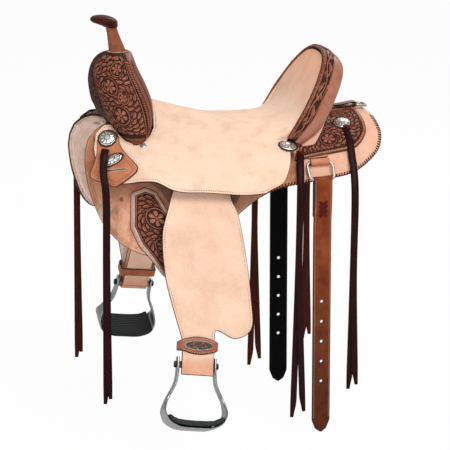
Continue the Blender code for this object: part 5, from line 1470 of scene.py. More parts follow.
class SADDLE_OT_rigging(bpy.types.Operator):
    """Builds the carved rigging plates, the rear jockeys and the breast collar dees"""

    bl_idname = "saddle.rigging"
    bl_label = "Rigging and rear jockeys"

    def execute(self, context):
        looks = ("bevelled leather", "dark waxed thread")
        widths = (8.5, 1.3, 4.5, (5.0, 12.5), ((9.5, 11.5, 0.9, 0),))
        rounds = ((-6.0, -26.0, 23.0), (2.0, 28.0, 17.0))
        # The plate is skived 1.8 mm thinner than its solid, so that the stirrup leather swings clear of it
        top = GAP + RIGGING_THICK - 1.8 * MM
        tooled("rigging_leather", "rigging_plate", PLATE, top, (-0.176, 0.286), rounds, widths, looks)
        outline = [(0.148, JOIN_S), (0.266, JOIN_S), (0.270, 0.030)] + pairs_of(smooth(REAR_JOCKEY, 4))
        outline += [(0.112, 0.145), (0.134, 0.112), (0.144, 0.075), (0.148, 0.040)]
        looks = ("skirting leather, horn", "waxed thread")
        widths = (7.5, 1.1, 4.4, (4.0, 9.0), ())
        rounds = ((-18.0, 38.0, 20.0), (4.0, -22.0, 20.0))
        top = GAP + JOCKEY_THICK
        tooled("rear_jockey_leather", "rear_jockey", outline, top, (0.205, 0.078), rounds, widths, looks)
        # A cast rectangle is let into the front of each skirt
        place = Flat(spot(FLANK, -0.272, 0.243, 1.2 * MM, math.radians(38.0)))
        outer, inner = rectangle(15.0 * MM, 13.0 * MM), rectangle(10.4 * MM, 8.2 * MM)
        bm = hide(place, outer, -3.0 * MM, 0.4 * MM, 6.0 * MM, (inner,), marks=(0, 0, 0))
        both("breast_rectangle", bm, ("nickel silver, cast",), "saddle", "breast_dee")
        return {"FINISHED"}


# Keepers, conchos and fasteners

# How far out each ring of a concho lies, as shares of its radius from its edge to its middle
CONCHO = (1.0, 0.98, 0.90, 0.84, 0.80, 0.74, 0.62, 0.50, 0.40, 0.36, 0.30, 0.16, 0.03)
CONCHO_HIGH = 5.2 * MM
PETALS = 10


def concho(bm, matrix, radius, oval):
    """An engraved concho on a scalloped leather rosette: 0 silver, 1 wax, 2 rosette, 3 its edge."""

    def scallop(angle, reach):
        return 1.0 - (0.05 * abs(math.sin(PETALS * angle / 2)) if reach > radius else 0.0)

    leather = ((0.6, -1.6), (1.20, -1.4), (1.22, -0.5), (1.10, 0.3), (0.5, 0.4))
    leather = [(radius * share, rise * MM) for share, rise in leather]
    turned(bm, matrix, leather, 64, (3, 3, 2, 2), 2, scallop, oval)
    rings = []
    for share in CONCHO:
        ring = []
        for angle in circle(PETALS * 8):
            wave = abs(math.sin(PETALS * angle / 2))
            lift = 0.3 * MM if share == 1.0 else 0.8 * MM + CONCHO_HIGH * (1.0 - share**2.2) * 0.82
            if 0.40 <= share <= 0.74:
                lift += 0.45 * MM * wave - 0.35 * MM
            reach = radius * share * (1.0 - 0.055 * wave * ease(0.7, 1.0, share))
            flat = Vector((reach * math.cos(angle) * oval[0], -lift, reach * math.sin(angle) * oval[1]))
            ring.append(bm.verts.new(matrix @ flat))
        rings.append(ring)
    for level, (one, two) in enumerate(zip(rings, rings[1:])):
        for k in range(len(one)):
            j = (k + 1) % len(one)
            waxed = level in (2, 3, 8, 9) or level in (4, 5, 6, 7) and k % 8 in (0, 7)
            bm.faces.new((one[k], one[j], two[j], two[k])).material_index = int(waxed)
    bm.faces.new(rings[-1]).material_index = 0


def knot(bm, matrix, size):
    """Two turns of latigo pulled tight."""
    for turn, wide in ((0.5, 1.0), (-0.6, 0.85)):
        lie = matrix @ Matrix.Rotation(turn, 4, "Y")
        bend = arc((0.0, 0.0), size, 0.0, math.pi, 12)
        tube([lie @ Vector((x * wide, -y * 0.7, 0.0)) for x, y in bend], size * 0.34, 8, 0, bm)


class SADDLE_OT_trim(bpy.types.Operator):
    """Builds the latigo keepers, conchos, rosettes, knots, screws and rivets"""

    bl_idname = "saddle.trim"
    bl_label = "Keepers and conchos"

    def execute(self, context):
        self.keepers()
        keeper_top, jockey_top = GAP + KEEPER_THICK + 1.2 * MM, GAP + JOCKEY_THICK + 1.2 * MM
        looks = ("nickel silver, engraved", "antique wax in engraving", "carved leather, cut sides")
        looks += ("slicked edge",)
        for name, net, u, s, height, turn, narrow, radius in (
            ("front", SEAT, -0.261, 0.110, keeper_top, 0.0, 1.0, 17.0),
            ("keeper", SEAT, -0.257, 0.155, keeper_top, -8.0, 0.48, 22.0),
            ("mid", SEAT, 0.217, 0.171, 2.4 * MM, 0.0, 1.0, 17.0),
            ("rear", FLANK, 0.226, 0.074, jockey_top, 0.0, 1.0, 17.0),
        ):
            bm = bmesh.new()
            concho(bm, spot(net, u, s, height, math.radians(turn)), radius * MM, (1.0, narrow))
            both(name + "_silver", bm, looks, "saddle", name + "_concho")
        bm = bmesh.new()
        for u, s, height in ((0.121, 0.1435, 5.0), (0.230, 0.0925, 6.0)):
            knot(bm, spot(FLANK, u, s, height * MM, 0.3), 6.5 * MM)
        both("string_knots", bm, ("latigo leather, knots",))
        self.fasteners()
        return {"FINISHED"}

    def keepers(self):
        """A sewn tab behind each front concho, with a slit for the latigo."""
        slit = [(-0.271, 0.1665), (-0.236, 0.1840), (-0.234, 0.1875), (-0.270, 0.1705)]
        outline = pairs_of(smooth(KEEPER, 4, True))
        top = GAP + KEEPER_THICK
        bm = hide(SEAT, outline, GAP, top, 6.0 * MM, (slit,), marks=(0, 1, 1))
        band(bm, SEAT, outline, 1.0 * MM, 6.0 * MM, top - 0.3 * MM, top + 1.0 * MM, 2)
        stitches(bm, SEAT, inset(walk(outline, 3.0 * MM), 8.6 * MM), top, 3, True)
        band(bm, SEAT, slit, -1.8 * MM, 0.4 * MM, top - 0.3 * MM, top + 0.7 * MM, 4)
        looks = ("skirting leather, russet", "slicked edge") * 2 + ("bevelled leather",)
        both("keeper", bm, looks, "saddle", "latigo_keeper")

    def fasteners(self):
        """Slotted screws through the seat, the skirt and the woolskin, and the rivets at the rigging."""
        dome = in_mm(((6.8, -0.6), (6.8, 0.7), (6.0, 1.2), (5.0, 0.8), (4.8, 1.6), (2.4, 2.3), (0.4, 2.4)))
        slot = in_mm(((-3.6, -0.4), (3.6, -0.4), (3.6, 0.4), (-3.6, 0.4)))
        behind = spot(FLANK, -0.250, 0.060, -(SKIRT_THICK + FLEECE_THICK) - 2.4 * MM, 0.5)
        places = [spot(SEAT, -0.197, 0.142, 0.2 * MM, 0.5), spot(FLANK, -0.253, 0.078, 0.2 * MM, 0.5)]
        places.append(behind @ Matrix.Rotation(math.pi, 4, "Z"))
        bm = bmesh.new()
        for place in places:
            turned(bm, place, dome, 24, (1, 0, 1, 1, 0, 0))
            hide(Flat(place), slot, 2.0 * MM, 2.7 * MM, 2.0 * MM, bm=bm, marks=(1, 1, 1))
        both("screws", bm, ("nickel silver, engraved", "antique wax in engraving"))
        rivet = in_mm(((4.4, -0.4), (4.4, 0.5), (3.4, 1.3), (1.4, 1.6), (1.2, 1.1)))
        bm = bmesh.new()
        for u, s in ((-0.243, 0.2235), (-0.200, 0.2075)):
            turned(bm, spot(FLANK, u, s, 0.2 * MM), rivet, 18, (0, 0, 0, 0))
        both("rivets", bm, ("copper rivet",))


# Fenders and stirrups

# The stirrup leather: half its width, how far its bolt hangs below the hinge, and its outer and inner plies
LEATHER_HALF = 27.6 * MM
BOLT_DROP = 0.334
OUTER_PLY = (24.6 * MM, 28.7 * MM)
INNER_PLY = (4.9 * MM, 9.0 * MM)
FENDER_FLESH = 29.2 * MM
FENDER_FACE = FENDER_FLESH + FENDER_THICK
HOBBLE = HANG @ Matrix.Translation((0.0, 0.0, 0.038 - BOLT_DROP))
HOBBLE_HALF = 36.0 * MM
HOBBLE_THICK = 3.0 * MM


def hobble_height(x):
    """Half the height of the hobble strap's front, in millimetres."""
    return blend(9.0, 17.5, 1.0 - (x / HOBBLE_HALF) ** 2)


class SADDLE_OT_fenders(bpy.types.Operator):
    """Builds the stirrup leathers, fenders, hobble straps and their plaques"""

    bl_idname = "saddle.fenders"
    bl_label = "Fenders"

    def execute(self, context):
        tail = 32.0 * MM
        rear = [(0.044, 0.030), (0.053, -0.004), (0.067, -0.031), (0.080, -0.080), (0.094, -0.150)]
        rear += [(0.102, -0.207), (0.106, -0.239), (0.103, -0.258), (0.090, -0.272), (0.069, -0.278)]
        rear += [(0.050, -0.270), (0.034, -0.264), (0.0315, -0.278), (tail, -0.300)]
        ahead = [(-tail, -0.305), (-0.0335, -0.287), (-0.045, -0.253), (-0.059, -0.212), (-0.071, -0.172)]
        ahead += [(-0.078, -0.133), (-0.081, -0.106), (-0.082, -0.076), (-0.077, -0.048), (-0.067, -0.002)]
        ahead += [(-0.058, 0.030)]
        foot = [(tail, -BOLT_DROP - 0.020), (-tail, -BOLT_DROP - 0.020)]
        outline = pairs_of(smooth(rear, 4)) + foot + pairs_of(smooth(ahead, 4))
        plane = Flat(HANG)
        bm = hide(plane, outline, FENDER_FLESH, FENDER_FACE, 8.0 * MM, relief=softly)
        row = [p for p in inset(walk(outline, 4.0 * MM), 5.0 * MM) if p[1] > -0.285]
        stitches(bm, plane, row, FENDER_FACE - 0.1 * MM, 3)
        looks = ("roughout leather, fender", "slicked edge", "woolskin", "dark waxed thread")
        both("fender_leather", bm, looks, "fender", "fender")
        self.leather(plane)
        self.hobble()
        self.plaque()
        return {"FINISHED"}

    def leather(self, plane):
        """Two plies, bent over the tree bar at the top and round the stirrup's bolt at the foot."""
        half = LEATHER_HALF
        outline = arc((0, 0), half, 0.0, math.pi, 24) + [(-half, -BOLT_DROP), (half, -BOLT_DROP)]
        bm = hide(plane, outline, *OUTER_PLY, 8.0 * MM, marks=(0, 1, 0))
        hide(plane, outline, *INNER_PLY, 8.0 * MM, bm=bm, marks=(0, 1, 0))
        low, high = math.radians(22.0), math.radians(158.0)
        line = arc((0, 0), half, low, high, 16) + arc((0, 0), 23.6 * MM, high, low, 16)
        loft([[HANG @ Vector((x, y, z)) for x, z in line] for y in (-24.8 * MM, -8.8 * MM)], 1, bm)
        bolt, out = (-16.8 * MM, -BOLT_DROP), 11.9 * MM
        rings = []
        for x in (-half, -half + 1.2 * MM, half - 1.2 * MM, half):
            slim = 0.8 * MM if abs(x) == half else 0.0
            line = arc(bolt, out - slim, math.pi, 2 * math.pi, 16)
            line += arc(bolt, out - STRAP_THICK + slim, 2 * math.pi, math.pi, 16)
            rings.append([HANG @ Vector((x, y, z)) for y, z in line])
        loft(rings, 0, bm)
        looks = ("roughout leather, fender", "skirting leather, hobble")
        both("stirrup_strap", bm, looks, "fender", "stirrup_leather")

    def hobble(self):
        """The strap round both plies and the fender, tallest in the middle of its front."""
        outer, inner, half, turn = -FENDER_FACE - GAP, GAP - INNER_PLY[0], HOBBLE_HALF, 4.0 * MM
        corners = [(half, outer, turn), (half, inner, turn), (-half, inner, turn), (-half, outer, turn)]
        path = [Vector((p.x, p.z)) for p in rounded(corners, 5)]
        path += [Vector((blend(turn - half, half - turn, i / 24), outer)) for i in range(1, 24)]
        hem = ((0.0, 0.94), (0.35, 1.0), (0.75, 0.97), (1.0, 0.88))
        section = [(share, -tall) for share, tall in hem] + list(hem[::-1])
        rings = []
        for i, base in enumerate(path):
            run = (path[(i + 1) % len(path)] - path[i - 1]).normalized()
            out = Vector((run.y, -run.x)) * HOBBLE_THICK
            tall = (hobble_height(base.x) if base.y < outer + 1.0 * MM else 9.0) * MM
            ring = [Vector((*(base + out * share), tall * height)) for share, height in section]
            rings.append([HOBBLE @ p for p in ring])
        bm = loft(rings, 0, around=True, marks=[1, 1, 1, 0, 1, 1, 1, 2])
        for sign in (1.0, -1.0):
            row = [(x * MM, sign * (hobble_height(x * MM) - 2.8) * MM) for x in range(-31, 32, 3)]
            stitches(bm, Flat(HOBBLE), row, HOBBLE_THICK - outer - 0.05 * MM, 3)
        looks = ("skirting leather, hobble", "slicked edge", "woolskin", "waxed thread")
        both("hobble", bm, looks, "fender", "hobble_strap")

    def plaque(self):
        """An oval plaque bent to the strap, with leaves inside a raised rim."""
        seat = HOBBLE @ Matrix.Translation((0.0, -FENDER_FACE - GAP - HOBBLE_THICK, 0.0))
        size = 29.0 * MM

        def bent(x, lift, z):
            return seat @ Vector((x, 0.0012 * (x / size) ** 2 - lift, z))

        bm = bmesh.new()
        profile = ((0.94, -0.3), (1.0, 0.3), (1.0, 1.9), (0.975, 2.5), (0.93, 2.5), (0.905, 1.7), (0.86, 1.4))
        rings = []
        for share, rise in profile + ((0.5, 1.5), (0.03, 1.6)):
            wide, tall = size * share, size * 0.34 * (share if share < 0.9 else 1.0 - (1.0 - share) * 2.6)
            ring = [bent(wide * math.cos(a), rise * MM, tall * math.sin(a)) for a in circle(72)]
            rings.append([bm.verts.new(p) for p in ring])
        for mark, one, two in zip((2, 2, 2, 2, 1, 1, 1, 1), rings, rings[1:]):
            bridge(bm, one, two, mark)
        bm.faces.new(rings[-1]).material_index = 1
        ornament = Carving(lambda x, y, lift: bent(x * MM, 1.4 * MM + lift, y * MM), 0.9 * MM, bm)
        field = [(size / MM * 0.84 * math.cos(a), size / MM * 0.26 * math.sin(a)) for a in circle(40)]
        ornament.fill(field, ((-8.0, 0.0, 5.5), (8.0, 0.0, 5.5)), ((7, 3.2), (5, 2.4), (3.5, 1.8)))
        looks = ("copper plate, antiqued", "antique wax in engraving", "nickel silver, cast")
        both("hobble_silver", bm, looks, "fender", "hobble_plaque")


# The top of the stirrup's tread, below its bolt
TREAD_TOP = -110.0 * MM


class SADDLE_OT_stirrups(bpy.types.Operator):
    """Builds the bell stirrups, their treads and bolts"""

    bl_idname = "saddle.stirrups"
    bl_label = "Stirrups"

    def execute(self, context):
        right = ((37.0, 15.0), (37.0, -12.0), (41.0, -38.5), (55.0, -68.2), (61.0, -88.0), (59.0, -100.0))
        line = smooth(in_mm(right + ((50.0, -114.0), (29.0, -123.0), (0.0, -124.0))), 7)
        line = [Vector((p.x, 0.0, p.y)) for p in line]
        path = line + [Vector((-p.x, 0.0, p.z)) for p in reversed(line[:-1])]
        across = Vector((0.0, 1.0, 0.0))
        rings = []
        last = len(path) - 1
        for i, point in enumerate(path):
            run = (path[min(i + 1, last)] - path[max(i - 1, 0)]).normalized()
            outward = run.cross(across).normalized()
            wide = blend(11.0, 31.5, ease(TREAD_TOP * 0.55, TREAD_TOP, point.z)) * MM
            wide *= min(1.0, min(i, last - i) / 5.0 * 0.35 + 0.65)
            ring = []
            for angle in circle(16):
                a, b = bulged(math.cos(angle), 0.55) * wide, bulged(math.sin(angle), 0.8) * 2.9 * MM
                ring.append(BOLT @ (point + across * a + outward * b))
            rings.append(ring)
        looks = ("cast aluminium",)
        both("stirrup_bell", loft(rings), looks, "stirrup", "stirrup_frame", sharp=50.0)
        self.tread()
        self.bolts()
        return {"FINISHED"}

    def tread(self):
        """A rubber pad with ribs across it, its ends turned up the frame."""
        wide = 34.0 * MM
        above = [(-54.0, 9.5), (-50.0, 9.0), (-45.0, 5.5), (-36.0, 2.0), (-20.0, 0.4), (0.0, 0.0)]
        below = [(-55.0, 8.0), (-52.5, 2.0), (-47.0, -3.0), (-36.0, -7.6), (-20.0, -9.8), (0.0, -10.4)]
        upper = above + [(-x, z) for x, z in reversed(above[:-1])]
        line = upper + [(-x, z) for x, z in below[:-1]] + below[::-1]
        rows = []
        for i in range(67):
            y = blend(-wide, wide, i / 66)
            rib = -1.0 if i % 6 in (0, 1) else 0.0
            slope = 1.2 * ease(wide - 2.0 * MM, wide, abs(y))
            row = []
            for k, (x, z) in enumerate(line):
                lift = rib - slope if k < len(upper) else slope
                row.append(BOLT @ Vector((x * MM * (1.0 - 0.01 * slope), y, TREAD_TOP + (z + lift) * MM)))
            rows.append(row)
        both("stirrup_pad", loft(rows), ("moulded rubber",), "stirrup", "stirrup_tread", sharp=35.0)

    def bolts(self):
        """The bolt in its sleeve, with a washer and a nut at each end."""
        bm = bmesh.new()
        self.bar(bm, ((-41.0, 4.0), (-32.0, 4.0), (-31.8, 7.2), (31.8, 7.2), (32.0, 4.0), (41.0, 4.0)), 24, 0)
        for side in (1.0, -1.0):
            self.bar(bm, ((40.0, 7.0), (40.7, 7.0), (41.2, 6.1)), 24, 1, side)
            self.bar(bm, ((41.2, 6.4), (43.5, 6.4), (44.0, 5.5)), 6, 1, side, 0.4)
        looks = ("zinc-plated steel", "blackened steel")
        both("stirrup_fixing", bm, looks, "stirrup", "stirrup_bolt", sharp=30.0)

    def bar(self, bm, profile, sides, index, side=1.0, turn=0.0):
        """A bar along the bolt, from (distance, radius) points in millimetres."""
        rings = []
        for x, r in in_mm(profile):
            ring = [Vector((side * x, r * math.cos(a), r * math.sin(a))) for a in circle(sides, turn)]
            rings.append([BOLT @ p for p in ring])
        loft(rings, index, bm)


# Billets and dees

# Sections across a strap: how far across and how far through each point lies, and the material past it
STRAP = ((-1.0, -0.45, 1), (-0.95, -1.0, 0), (0.0, -1.0, 0), (0.95, -1.0, 1), (1.0, -0.45, 1),
         (1.0, 0.45, 1), (0.95, 1.0, 0), (0.0, 1.0, 0), (-0.95, 1.0, 1), (-1.0, 0.45, 1))
THIN_STRAP = ((-1.0, 0.4, 1), (-0.93, 1.0, 0), (0.93, 1.0, 1), (1.0, 0.4, 1),
              (1.0, -0.4, 1), (0.93, -1.0, 0), (-0.93, -1.0, 1), (-1.0, -0.4, 1))


def strap(matrix, path, half, section=STRAP, cap=1):
    """A strap across X along (y, z, thickness) points."""
    rings = []
    last = len(path) - 1
    for i, (y, z, thick) in enumerate(path):
        after, before = path[min(i + 1, last)], path[max(i - 1, 0)]
        run = Vector((0.0, after[0] - before[0], after[1] - before[1])).normalized()
        out = Vector((0.0, -run.z, run.y)) * thick / 2
        rings.append([matrix @ (Vector((half * x, y, z)) + out * k) for x, k, mark in section])
    return loft(rings, cap, marks=[mark for x, k, mark in section])


class Ply(Flat):
    """The outer face of the billet where it folds over its dee, from (s, height in millimetres) points."""

    line = ((0.0, 5.9), (-0.020, 5.9), (-0.050, 5.3), (-0.076, 3.7), (-0.100, 2.6), (-0.530, 2.6))

    def at(self, u, s):
        for (a, high), (b, low) in zip(self.line, self.line[1:]):
            if s >= b:
                break
        return self.matrix @ Vector((u, -blend(high, low, (s - a) / (b - a)) * MM, s)), self.out


class SADDLE_OT_billets(bpy.types.Operator):
    """Builds the rear dees in their loops, the flank billets and the dee behind the cantle"""

    bl_idname = "saddle.billets"
    bl_label = "Billets and dees"

    def execute(self, context):
        wire = sizes().wire
        top, low, drop = 30.0 * MM - wire, 28.5 * MM - wire, 43.0 * MM - 2 * wire
        corners = [(top, 0.0, 11.0 * MM), (-top, 0.0, 11.0 * MM)]
        corners += [(-low, -drop, 9.0 * MM), (low, -drop, 9.0 * MM)]
        bm = tube([DEE @ p for p in rounded(corners, 7)], wire, 14, around=True)
        both("rear_dee_wire", bm, ("nickel silver, cast",), "dee", "rear_dee", sharp=60.0)
        path = [(-4.9, 5.0), (-4.9, 2.0)] + arc((0.0, 0.0), 4.9, math.pi, 2 * math.pi, 16) + [(4.9, 5.0)]
        bm = strap(DEE, in_mm((y, z, 3.0) for y, z in path), 20.0 * MM)
        point, s = DEE.to_translation(), 0.120
        while FLANK.at(point.x, s)[0].z > point.z + 5.0 * MM:
            s += 0.002
        wide = 20.0 * MM
        patch = [(point.x - wide, s), (point.x + wide, s)]
        patch += [(point.x + wide + 2.0 * MM, 0.150), (point.x - wide - 2.0 * MM, 0.150)]
        hide(FLANK, patch, GAP, GAP + 2.6 * MM, 6.0 * MM, bm=bm, marks=(0, 1, 1))
        both("dee_loop", bm, ("skirting leather, russet", "slicked edge"), "saddle", "dee_strap")
        self.billet()
        self.rear_loop()
        return {"FINISHED"}

    def billet(self):
        """One strap: down in front of the dee from its short end behind, laced through both plies."""
        half, reach = 19.0 * MM, 0.528
        path = [(4.5, -76.0, 3.4), (4.6, -50.0, 2.8), (4.65, -20.0, 2.5)]
        path += [(y, z, 2.5) for y, z in arc((0.0, 0.0), 4.65, 0.0, math.pi, 14)]
        path += [(-4.65, -20.0, 2.5), (-3.6, -50.0, 3.4), (-1.2, -76.0, 5.0)]
        path += [(0.0, -100.0, 5.2), (0.0, -116.0, 5.2)]
        bm = strap(BILLET, in_mm(path), half)
        tip = [(half, -reach + 0.026), (half * 0.62, -reach + 0.008)]
        outline = [(half, -0.098), (-half, -0.098)] + [(-u, s) for u, s in tip] + [(0.0, -reach)] + tip[::-1]
        holes = [arc((0.0, -0.252 - i * 0.0418), 3.2 * MM, 0.0, 1.875 * math.pi, 15) for i in range(5)]
        plane, ply = Flat(BILLET), Ply(BILLET)
        hide(plane, outline, -2.5 * MM, 2.5 * MM, 9.0 * MM, holes, bm=bm, marks=(0, 1, 0))
        for x in (-half + 3.2 * MM, half - 3.2 * MM):
            row = [(x, blend(-0.118, -reach + 0.034, i / 100)) for i in range(101)]
            stitches(bm, plane, row, 2.45 * MM, 2)
            row = [(x, blend(-0.004, -0.113, i / 30)) for i in range(31)]
            stitches(bm, ply, row, -0.1 * MM, 2)
        for z in (-50.0, -60.0, -70.0):
            for sign in (1.0, -1.0):
                lace = []
                top = 1.3 if sign > 0 else 1.0
                for share, rise in ((0.0, -0.6), (0.15, 1.0), (0.5, top), (0.85, 1.0), (1.0, -0.6)):
                    u, s = blend(-8.0, 8.0, share) * sign * MM, (z + blend(-5.0, 5.0, share)) * MM
                    lace.append(over(ply, u, s, rise * MM))
                tube(lace, 2.7 * MM, 8, 3, bm)
        near = ("harness leather, near", "slicked edge", "waxed thread", "latigo leather, knots")
        off = ("harness leather, off", "slicked edge", "dark waxed thread", "latigo leather, near")
        both("flank_billet", bm, near, "billet", "billet", off)

    def rear_loop(self):
        """The small dee behind the cantle, in the strap along the join of the rear jockeys."""
        base = Matrix.Translation(hinge("back_dee_flip")[0])
        lie = Matrix(((0, 0, -1, 0), (1, 0, 0, 0), (0, -1, 0, 0), (0, 0, 0, 1)))
        place = base @ Matrix.Rotation(math.radians(6.0), 4, "Y") @ lie
        corners = in_mm(((17.5, 0.0, 6.0), (-17.5, 0.0, 6.0), (-14.5, -23.0, 4.0), (14.5, -23.0, 4.0)))
        bm = tube([place @ p for p in rounded(corners, 7)], 2.5 * MM, 14, around=True)
        piece("back_dee_wire", bm, ("nickel silver, cast",), "back_ring", ("back_dee",), 60.0)
        path = [(-42.0, -3.15, 2.0), (-30.0, -3.57, 2.2), (-10.0, -4.2, 2.6)]
        path += [(y, z, 2.6) for y, z in arc((0.0, 0.0), 4.2, -math.pi / 2, math.pi / 2, 14)]
        path += [(-12.0, 3.024, 2.6), (-28.0, 0.42, 2.4), (-42.0, -0.21, 2.0)]
        across = Matrix(((0, 1, 0, 0), (1, 0, 0, 0), (0, 0, 1, 0), (0, 0, 0, 1)))
        bm = strap(base @ across, in_mm(path), 10.0 * MM, THIN_STRAP, 0)
        looks = ("skirting leather, horn", "slicked edge")
        piece("back_dee_leather", bm, looks, "saddle", ("back_dee_strap",))


# Strings

# Each pair of strings: where it lies over the leather and where it hangs free, its splay in millimetres and
# its fall
STRINGS = (
    ("front", SEAT, ((-0.267, 0.1300, 7.0), (-0.268, 0.140, 14.0), (-0.271, 0.172, 15.0)),
     ((-0.278, -0.166, -0.045), (-0.279, -0.166, -0.200)), 2.0, 0.262),
    ("mid", FLANK, ((0.120, 0.148, 5.9), (0.115, 0.172, 7.6), (0.112, 0.200, 10.0)),
     ((0.110, -0.186, -0.055), (0.107, -0.186, -0.215)), 9.0, 0.296),
    ("rear", FLANK, ((0.228, 0.0945, 5.6), (0.227, 0.130, 6.4), (0.225, 0.165, 8.0), (0.224, 0.188, 13.0)),
     ((0.223, -0.184, -0.070), (0.221, -0.184, -0.230)), 5.0, 0.230),
)


class SADDLE_OT_strings(bpy.types.Operator):
    """Hangs the twelve saddle strings from their conchos"""

    bl_idname = "saddle.strings"
    bl_label = "Saddle strings"

    def execute(self, context):
        rise = Vector((1.5 * MM, -2.9 * MM, 0.0))
        for name, net, spots, free, splay, fall in STRINGS:
            inner = [over(net, u, s, height * MM) for u, s, height in spots] + [Vector(p) for p in free]
            outer = [p + rise for p in inner]
            inner.append(inner[-1] + Vector((-splay * MM, 0.0, -fall)))
            outer.append(outer[-1] + Vector((splay * MM, 0.0, -fall * 0.96)))
            self.thong(name, "inner", inner, 0.1)
            self.thong(name, "outer", outer, 0.9)
        return {"FINISHED"}

    def thong(self, name, order, points, tip):
        """A flat string along a path, with its pointed end a share of its width from one edge."""
        path = [Vector(p) for p in walk(pairs_of(smooth(points, 8)), 12.0 * MM, False)]
        half, hem = sizes().thong_width / 2, 0.8 * MM
        rings = []
        last = len(path) - 1
        for i, point in enumerate(path):
            run = (path[min(i + 1, last)] - path[max(i - 1, 0)]).normalized()
            wide = Vector((1.0, 0.0, 0.0))
            wide = (wide - run * wide.dot(run)).normalized()
            out = run.cross(wide).normalized()
            if out.y > 0:
                out = -out
            fade = ease(last - 3, last + 0.5, i)
            left, right = half * (1.0 - tip * fade), half * (1.0 - (1.0 - tip) * fade)
            section = [(-left, -0.25), (hem - left, -0.5), (right - hem, -0.5), (right, -0.25)]
            section += [(x, -k) for x, k in reversed(section)]
            rings.append([point + wide * x + out * k * sizes().thong_thick for x, k in section])
        bm = loft(rings)
        for side, mesh, flip in (("near", bm, 1.0), ("off", mirrored(bm), -1.0)):
            label, looks = f"{name}_string_{order}_{side}", ("latigo leather, " + side,)
            item = piece(label, mesh, looks, "saddle", (f"{name}_strings_{side}",))
            line = [(p.x, p.y * flip, p.z) for p in path]
            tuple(line[0])


# Stage

# The camera: the photograph's width and its focal length in pixels, the sensor, how far off it stands from
# the point it looks at, and its turn and rise
PHOTO_PIXELS = 450.0
FOCAL_PIXELS = 2683.0
SENSOR_MM = 36.0
CAMERA_REACH = 5.5
LOOKS_AT = Vector((0.0, 0.0, -0.15))
TURN, RISE = math.radians(-13.0), math.radians(14.0)
# The soft lamps: where each stands, its width in metres and its power in watts
LAMPS = {
    "key": ((0.5, -2.3, 2.5), 1.5, 70.0),
    "fill": ((-2.3, -2.0, 0.8), 1.9, 17.0),
    "back": ((1.4, 2.1, 1.9), 1.6, 26.0),
}
FLOOR_REACH = 9.0


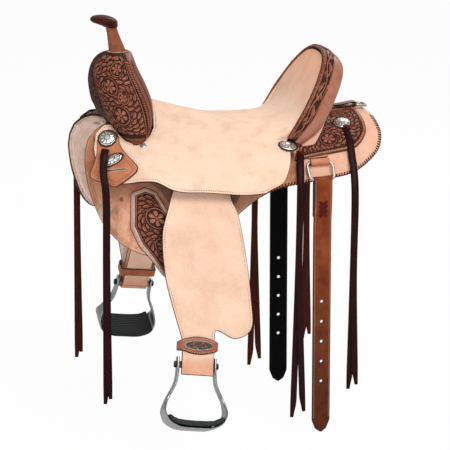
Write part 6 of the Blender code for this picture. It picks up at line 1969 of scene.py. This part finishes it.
class SADDLE_OT_stage(bpy.types.Operator):
    """Sets the camera at the photograph's angle, the soft lamps and the pale floor"""

    bl_idname = "saddle.stage"
    bl_label = "Stage"

    def execute(self, context):
        scene = context.scene
        back = Vector((math.sin(TURN) * math.cos(RISE), -math.cos(TURN) * math.cos(RISE), math.sin(RISE)))
        right = Vector((math.cos(TURN), math.sin(TURN), 0.0))
        data = bpy.data.cameras.new("camera")
        data.lens, data.sensor_width = FOCAL_PIXELS * SENSOR_MM / PHOTO_PIXELS, SENSOR_MM
        data.clip_start, data.clip_end = 0.1, 100.0
        camera = bpy.data.objects.new("camera", data)
        camera.matrix_world = Matrix((right, back.cross(right), back)).transposed().to_4x4()
        camera.location = LOOKS_AT + back * CAMERA_REACH
        scene.collection.objects.link(camera)
        scene.camera = camera
        for name, (place, size, power) in LAMPS.items():
            data = bpy.data.lights.new(name, "AREA")
            data.size, data.energy = size, power
            item = bpy.data.objects.new(name, data)
            item.location = place
            item.rotation_mode = "QUATERNION"
            item.rotation_quaternion = (Vector(place) - Vector((0.0, 0.0, -0.12))).to_track_quat("Z", "Y")
            scene.collection.objects.link(item)
        self.floor(scene)
        self.sky(scene)
        scene.view_settings.view_transform = "Standard"
        return {"FINISHED"}

    def floor(self, scene):
        mesh = bpy.data.meshes.new("floor")
        low, size = CAD_BOX[0][2] - 4.0 * MM, FLOOR_REACH
        corners = [(-size, -size, low), (size, -size, low), (size, size, low), (-size, size, low)]
        mesh.from_pydata(corners, [], [(0, 1, 2, 3)])
        # Matt paper: pale and even, so that only the saddle's own shadow shows on it.
        material = bpy.data.materials.new("matt paper")
        material.use_nodes = True
        tree = material.node_tree
        shader = tree.nodes["Principled BSDF"]
        shader.inputs["Base Color"].default_value = linear("#F4F4F2") + (1.0,)
        shader.inputs["Roughness"].default_value = 0.95
        shader.inputs["Specular IOR Level"].default_value = 0.1
        glow = node(tree, "ShaderNodeEmission", {"Color": linear("#FFFFFF") + (1.0,), "Strength": 1.0})
        seen = node(tree, "ShaderNodeLightPath")
        direct = {0: seen.outputs["Is Camera Ray"]}
        share = node(tree, "ShaderNodeMath", {1: 0.96}, direct, operation="MULTIPLY")
        inputs = {0: share.outputs[0], 1: shader.outputs[0], 2: glow.outputs[0]}
        mixed = node(tree, "ShaderNodeMixShader", links=inputs)
        tree.links.new(mixed.outputs[0], tree.nodes["Material Output"].inputs["Surface"])
        mesh.materials.append(material)
        item = bpy.data.objects.new("floor", mesh)
        scene.collection.objects.link(item)

    def sky(self, scene):
        world = bpy.data.worlds.new("studio")
        world.use_nodes = True
        scene.world = world
        tree = world.node_tree
        ground = tree.nodes["Background"]
        ground.inputs["Color"].default_value = linear("#FFFFFF") + (1.0,)
        seen = node(tree, "ShaderNodeLightPath")
        tree.links.new(spread(tree, seen.outputs["Is Camera Ray"], 0.42, 1.0), ground.inputs["Strength"])


STEPS = (
    SADDLE_OT_finishes, SADDLE_OT_stage, SADDLE_OT_strings, SADDLE_OT_seat, SADDLE_OT_skirts,
    SADDLE_OT_fork, SADDLE_OT_horn, SADDLE_OT_cantle, SADDLE_OT_rigging, SADDLE_OT_trim,
    SADDLE_OT_fenders, SADDLE_OT_stirrups, SADDLE_OT_billets,
)


class SADDLE_PT_panel(bpy.types.Panel):
    """Lists the saddle's colours, sizes and pieces"""

    bl_idname = "SADDLE_PT_panel"
    bl_label = "Barrel racing saddle"
    bl_space_type = "VIEW_3D"
    bl_region_type = "UI"
    bl_category = "Saddle"

    def draw(self, context):
        for group in (context.scene.saddle_colours, context.scene.saddle_sizes):
            box = self.layout.box()
            for name in group.__annotations__:
                box.prop(group, name)
        for step in STEPS:
            self.layout.operator(step.bl_idname)


CLASSES = (SaddleColours, SaddleSizes) + STEPS + (SADDLE_PT_panel,)


def register():
    for item in CLASSES:
        bpy.utils.register_class(item)
    bpy.types.Scene.saddle_colours = bpy.props.PointerProperty(type=SaddleColours)
    bpy.types.Scene.saddle_sizes = bpy.props.PointerProperty(type=SaddleSizes)


def unregister():
    del bpy.types.Scene.saddle_sizes
    del bpy.types.Scene.saddle_colours
    for item in reversed(CLASSES):
        bpy.utils.unregister_class(item)


def main():
    register()
    for step in STEPS:
        group, name = step.bl_idname.split(".")
        getattr(getattr(bpy.ops, group), name)()


if __name__ == "__main__":
    main()
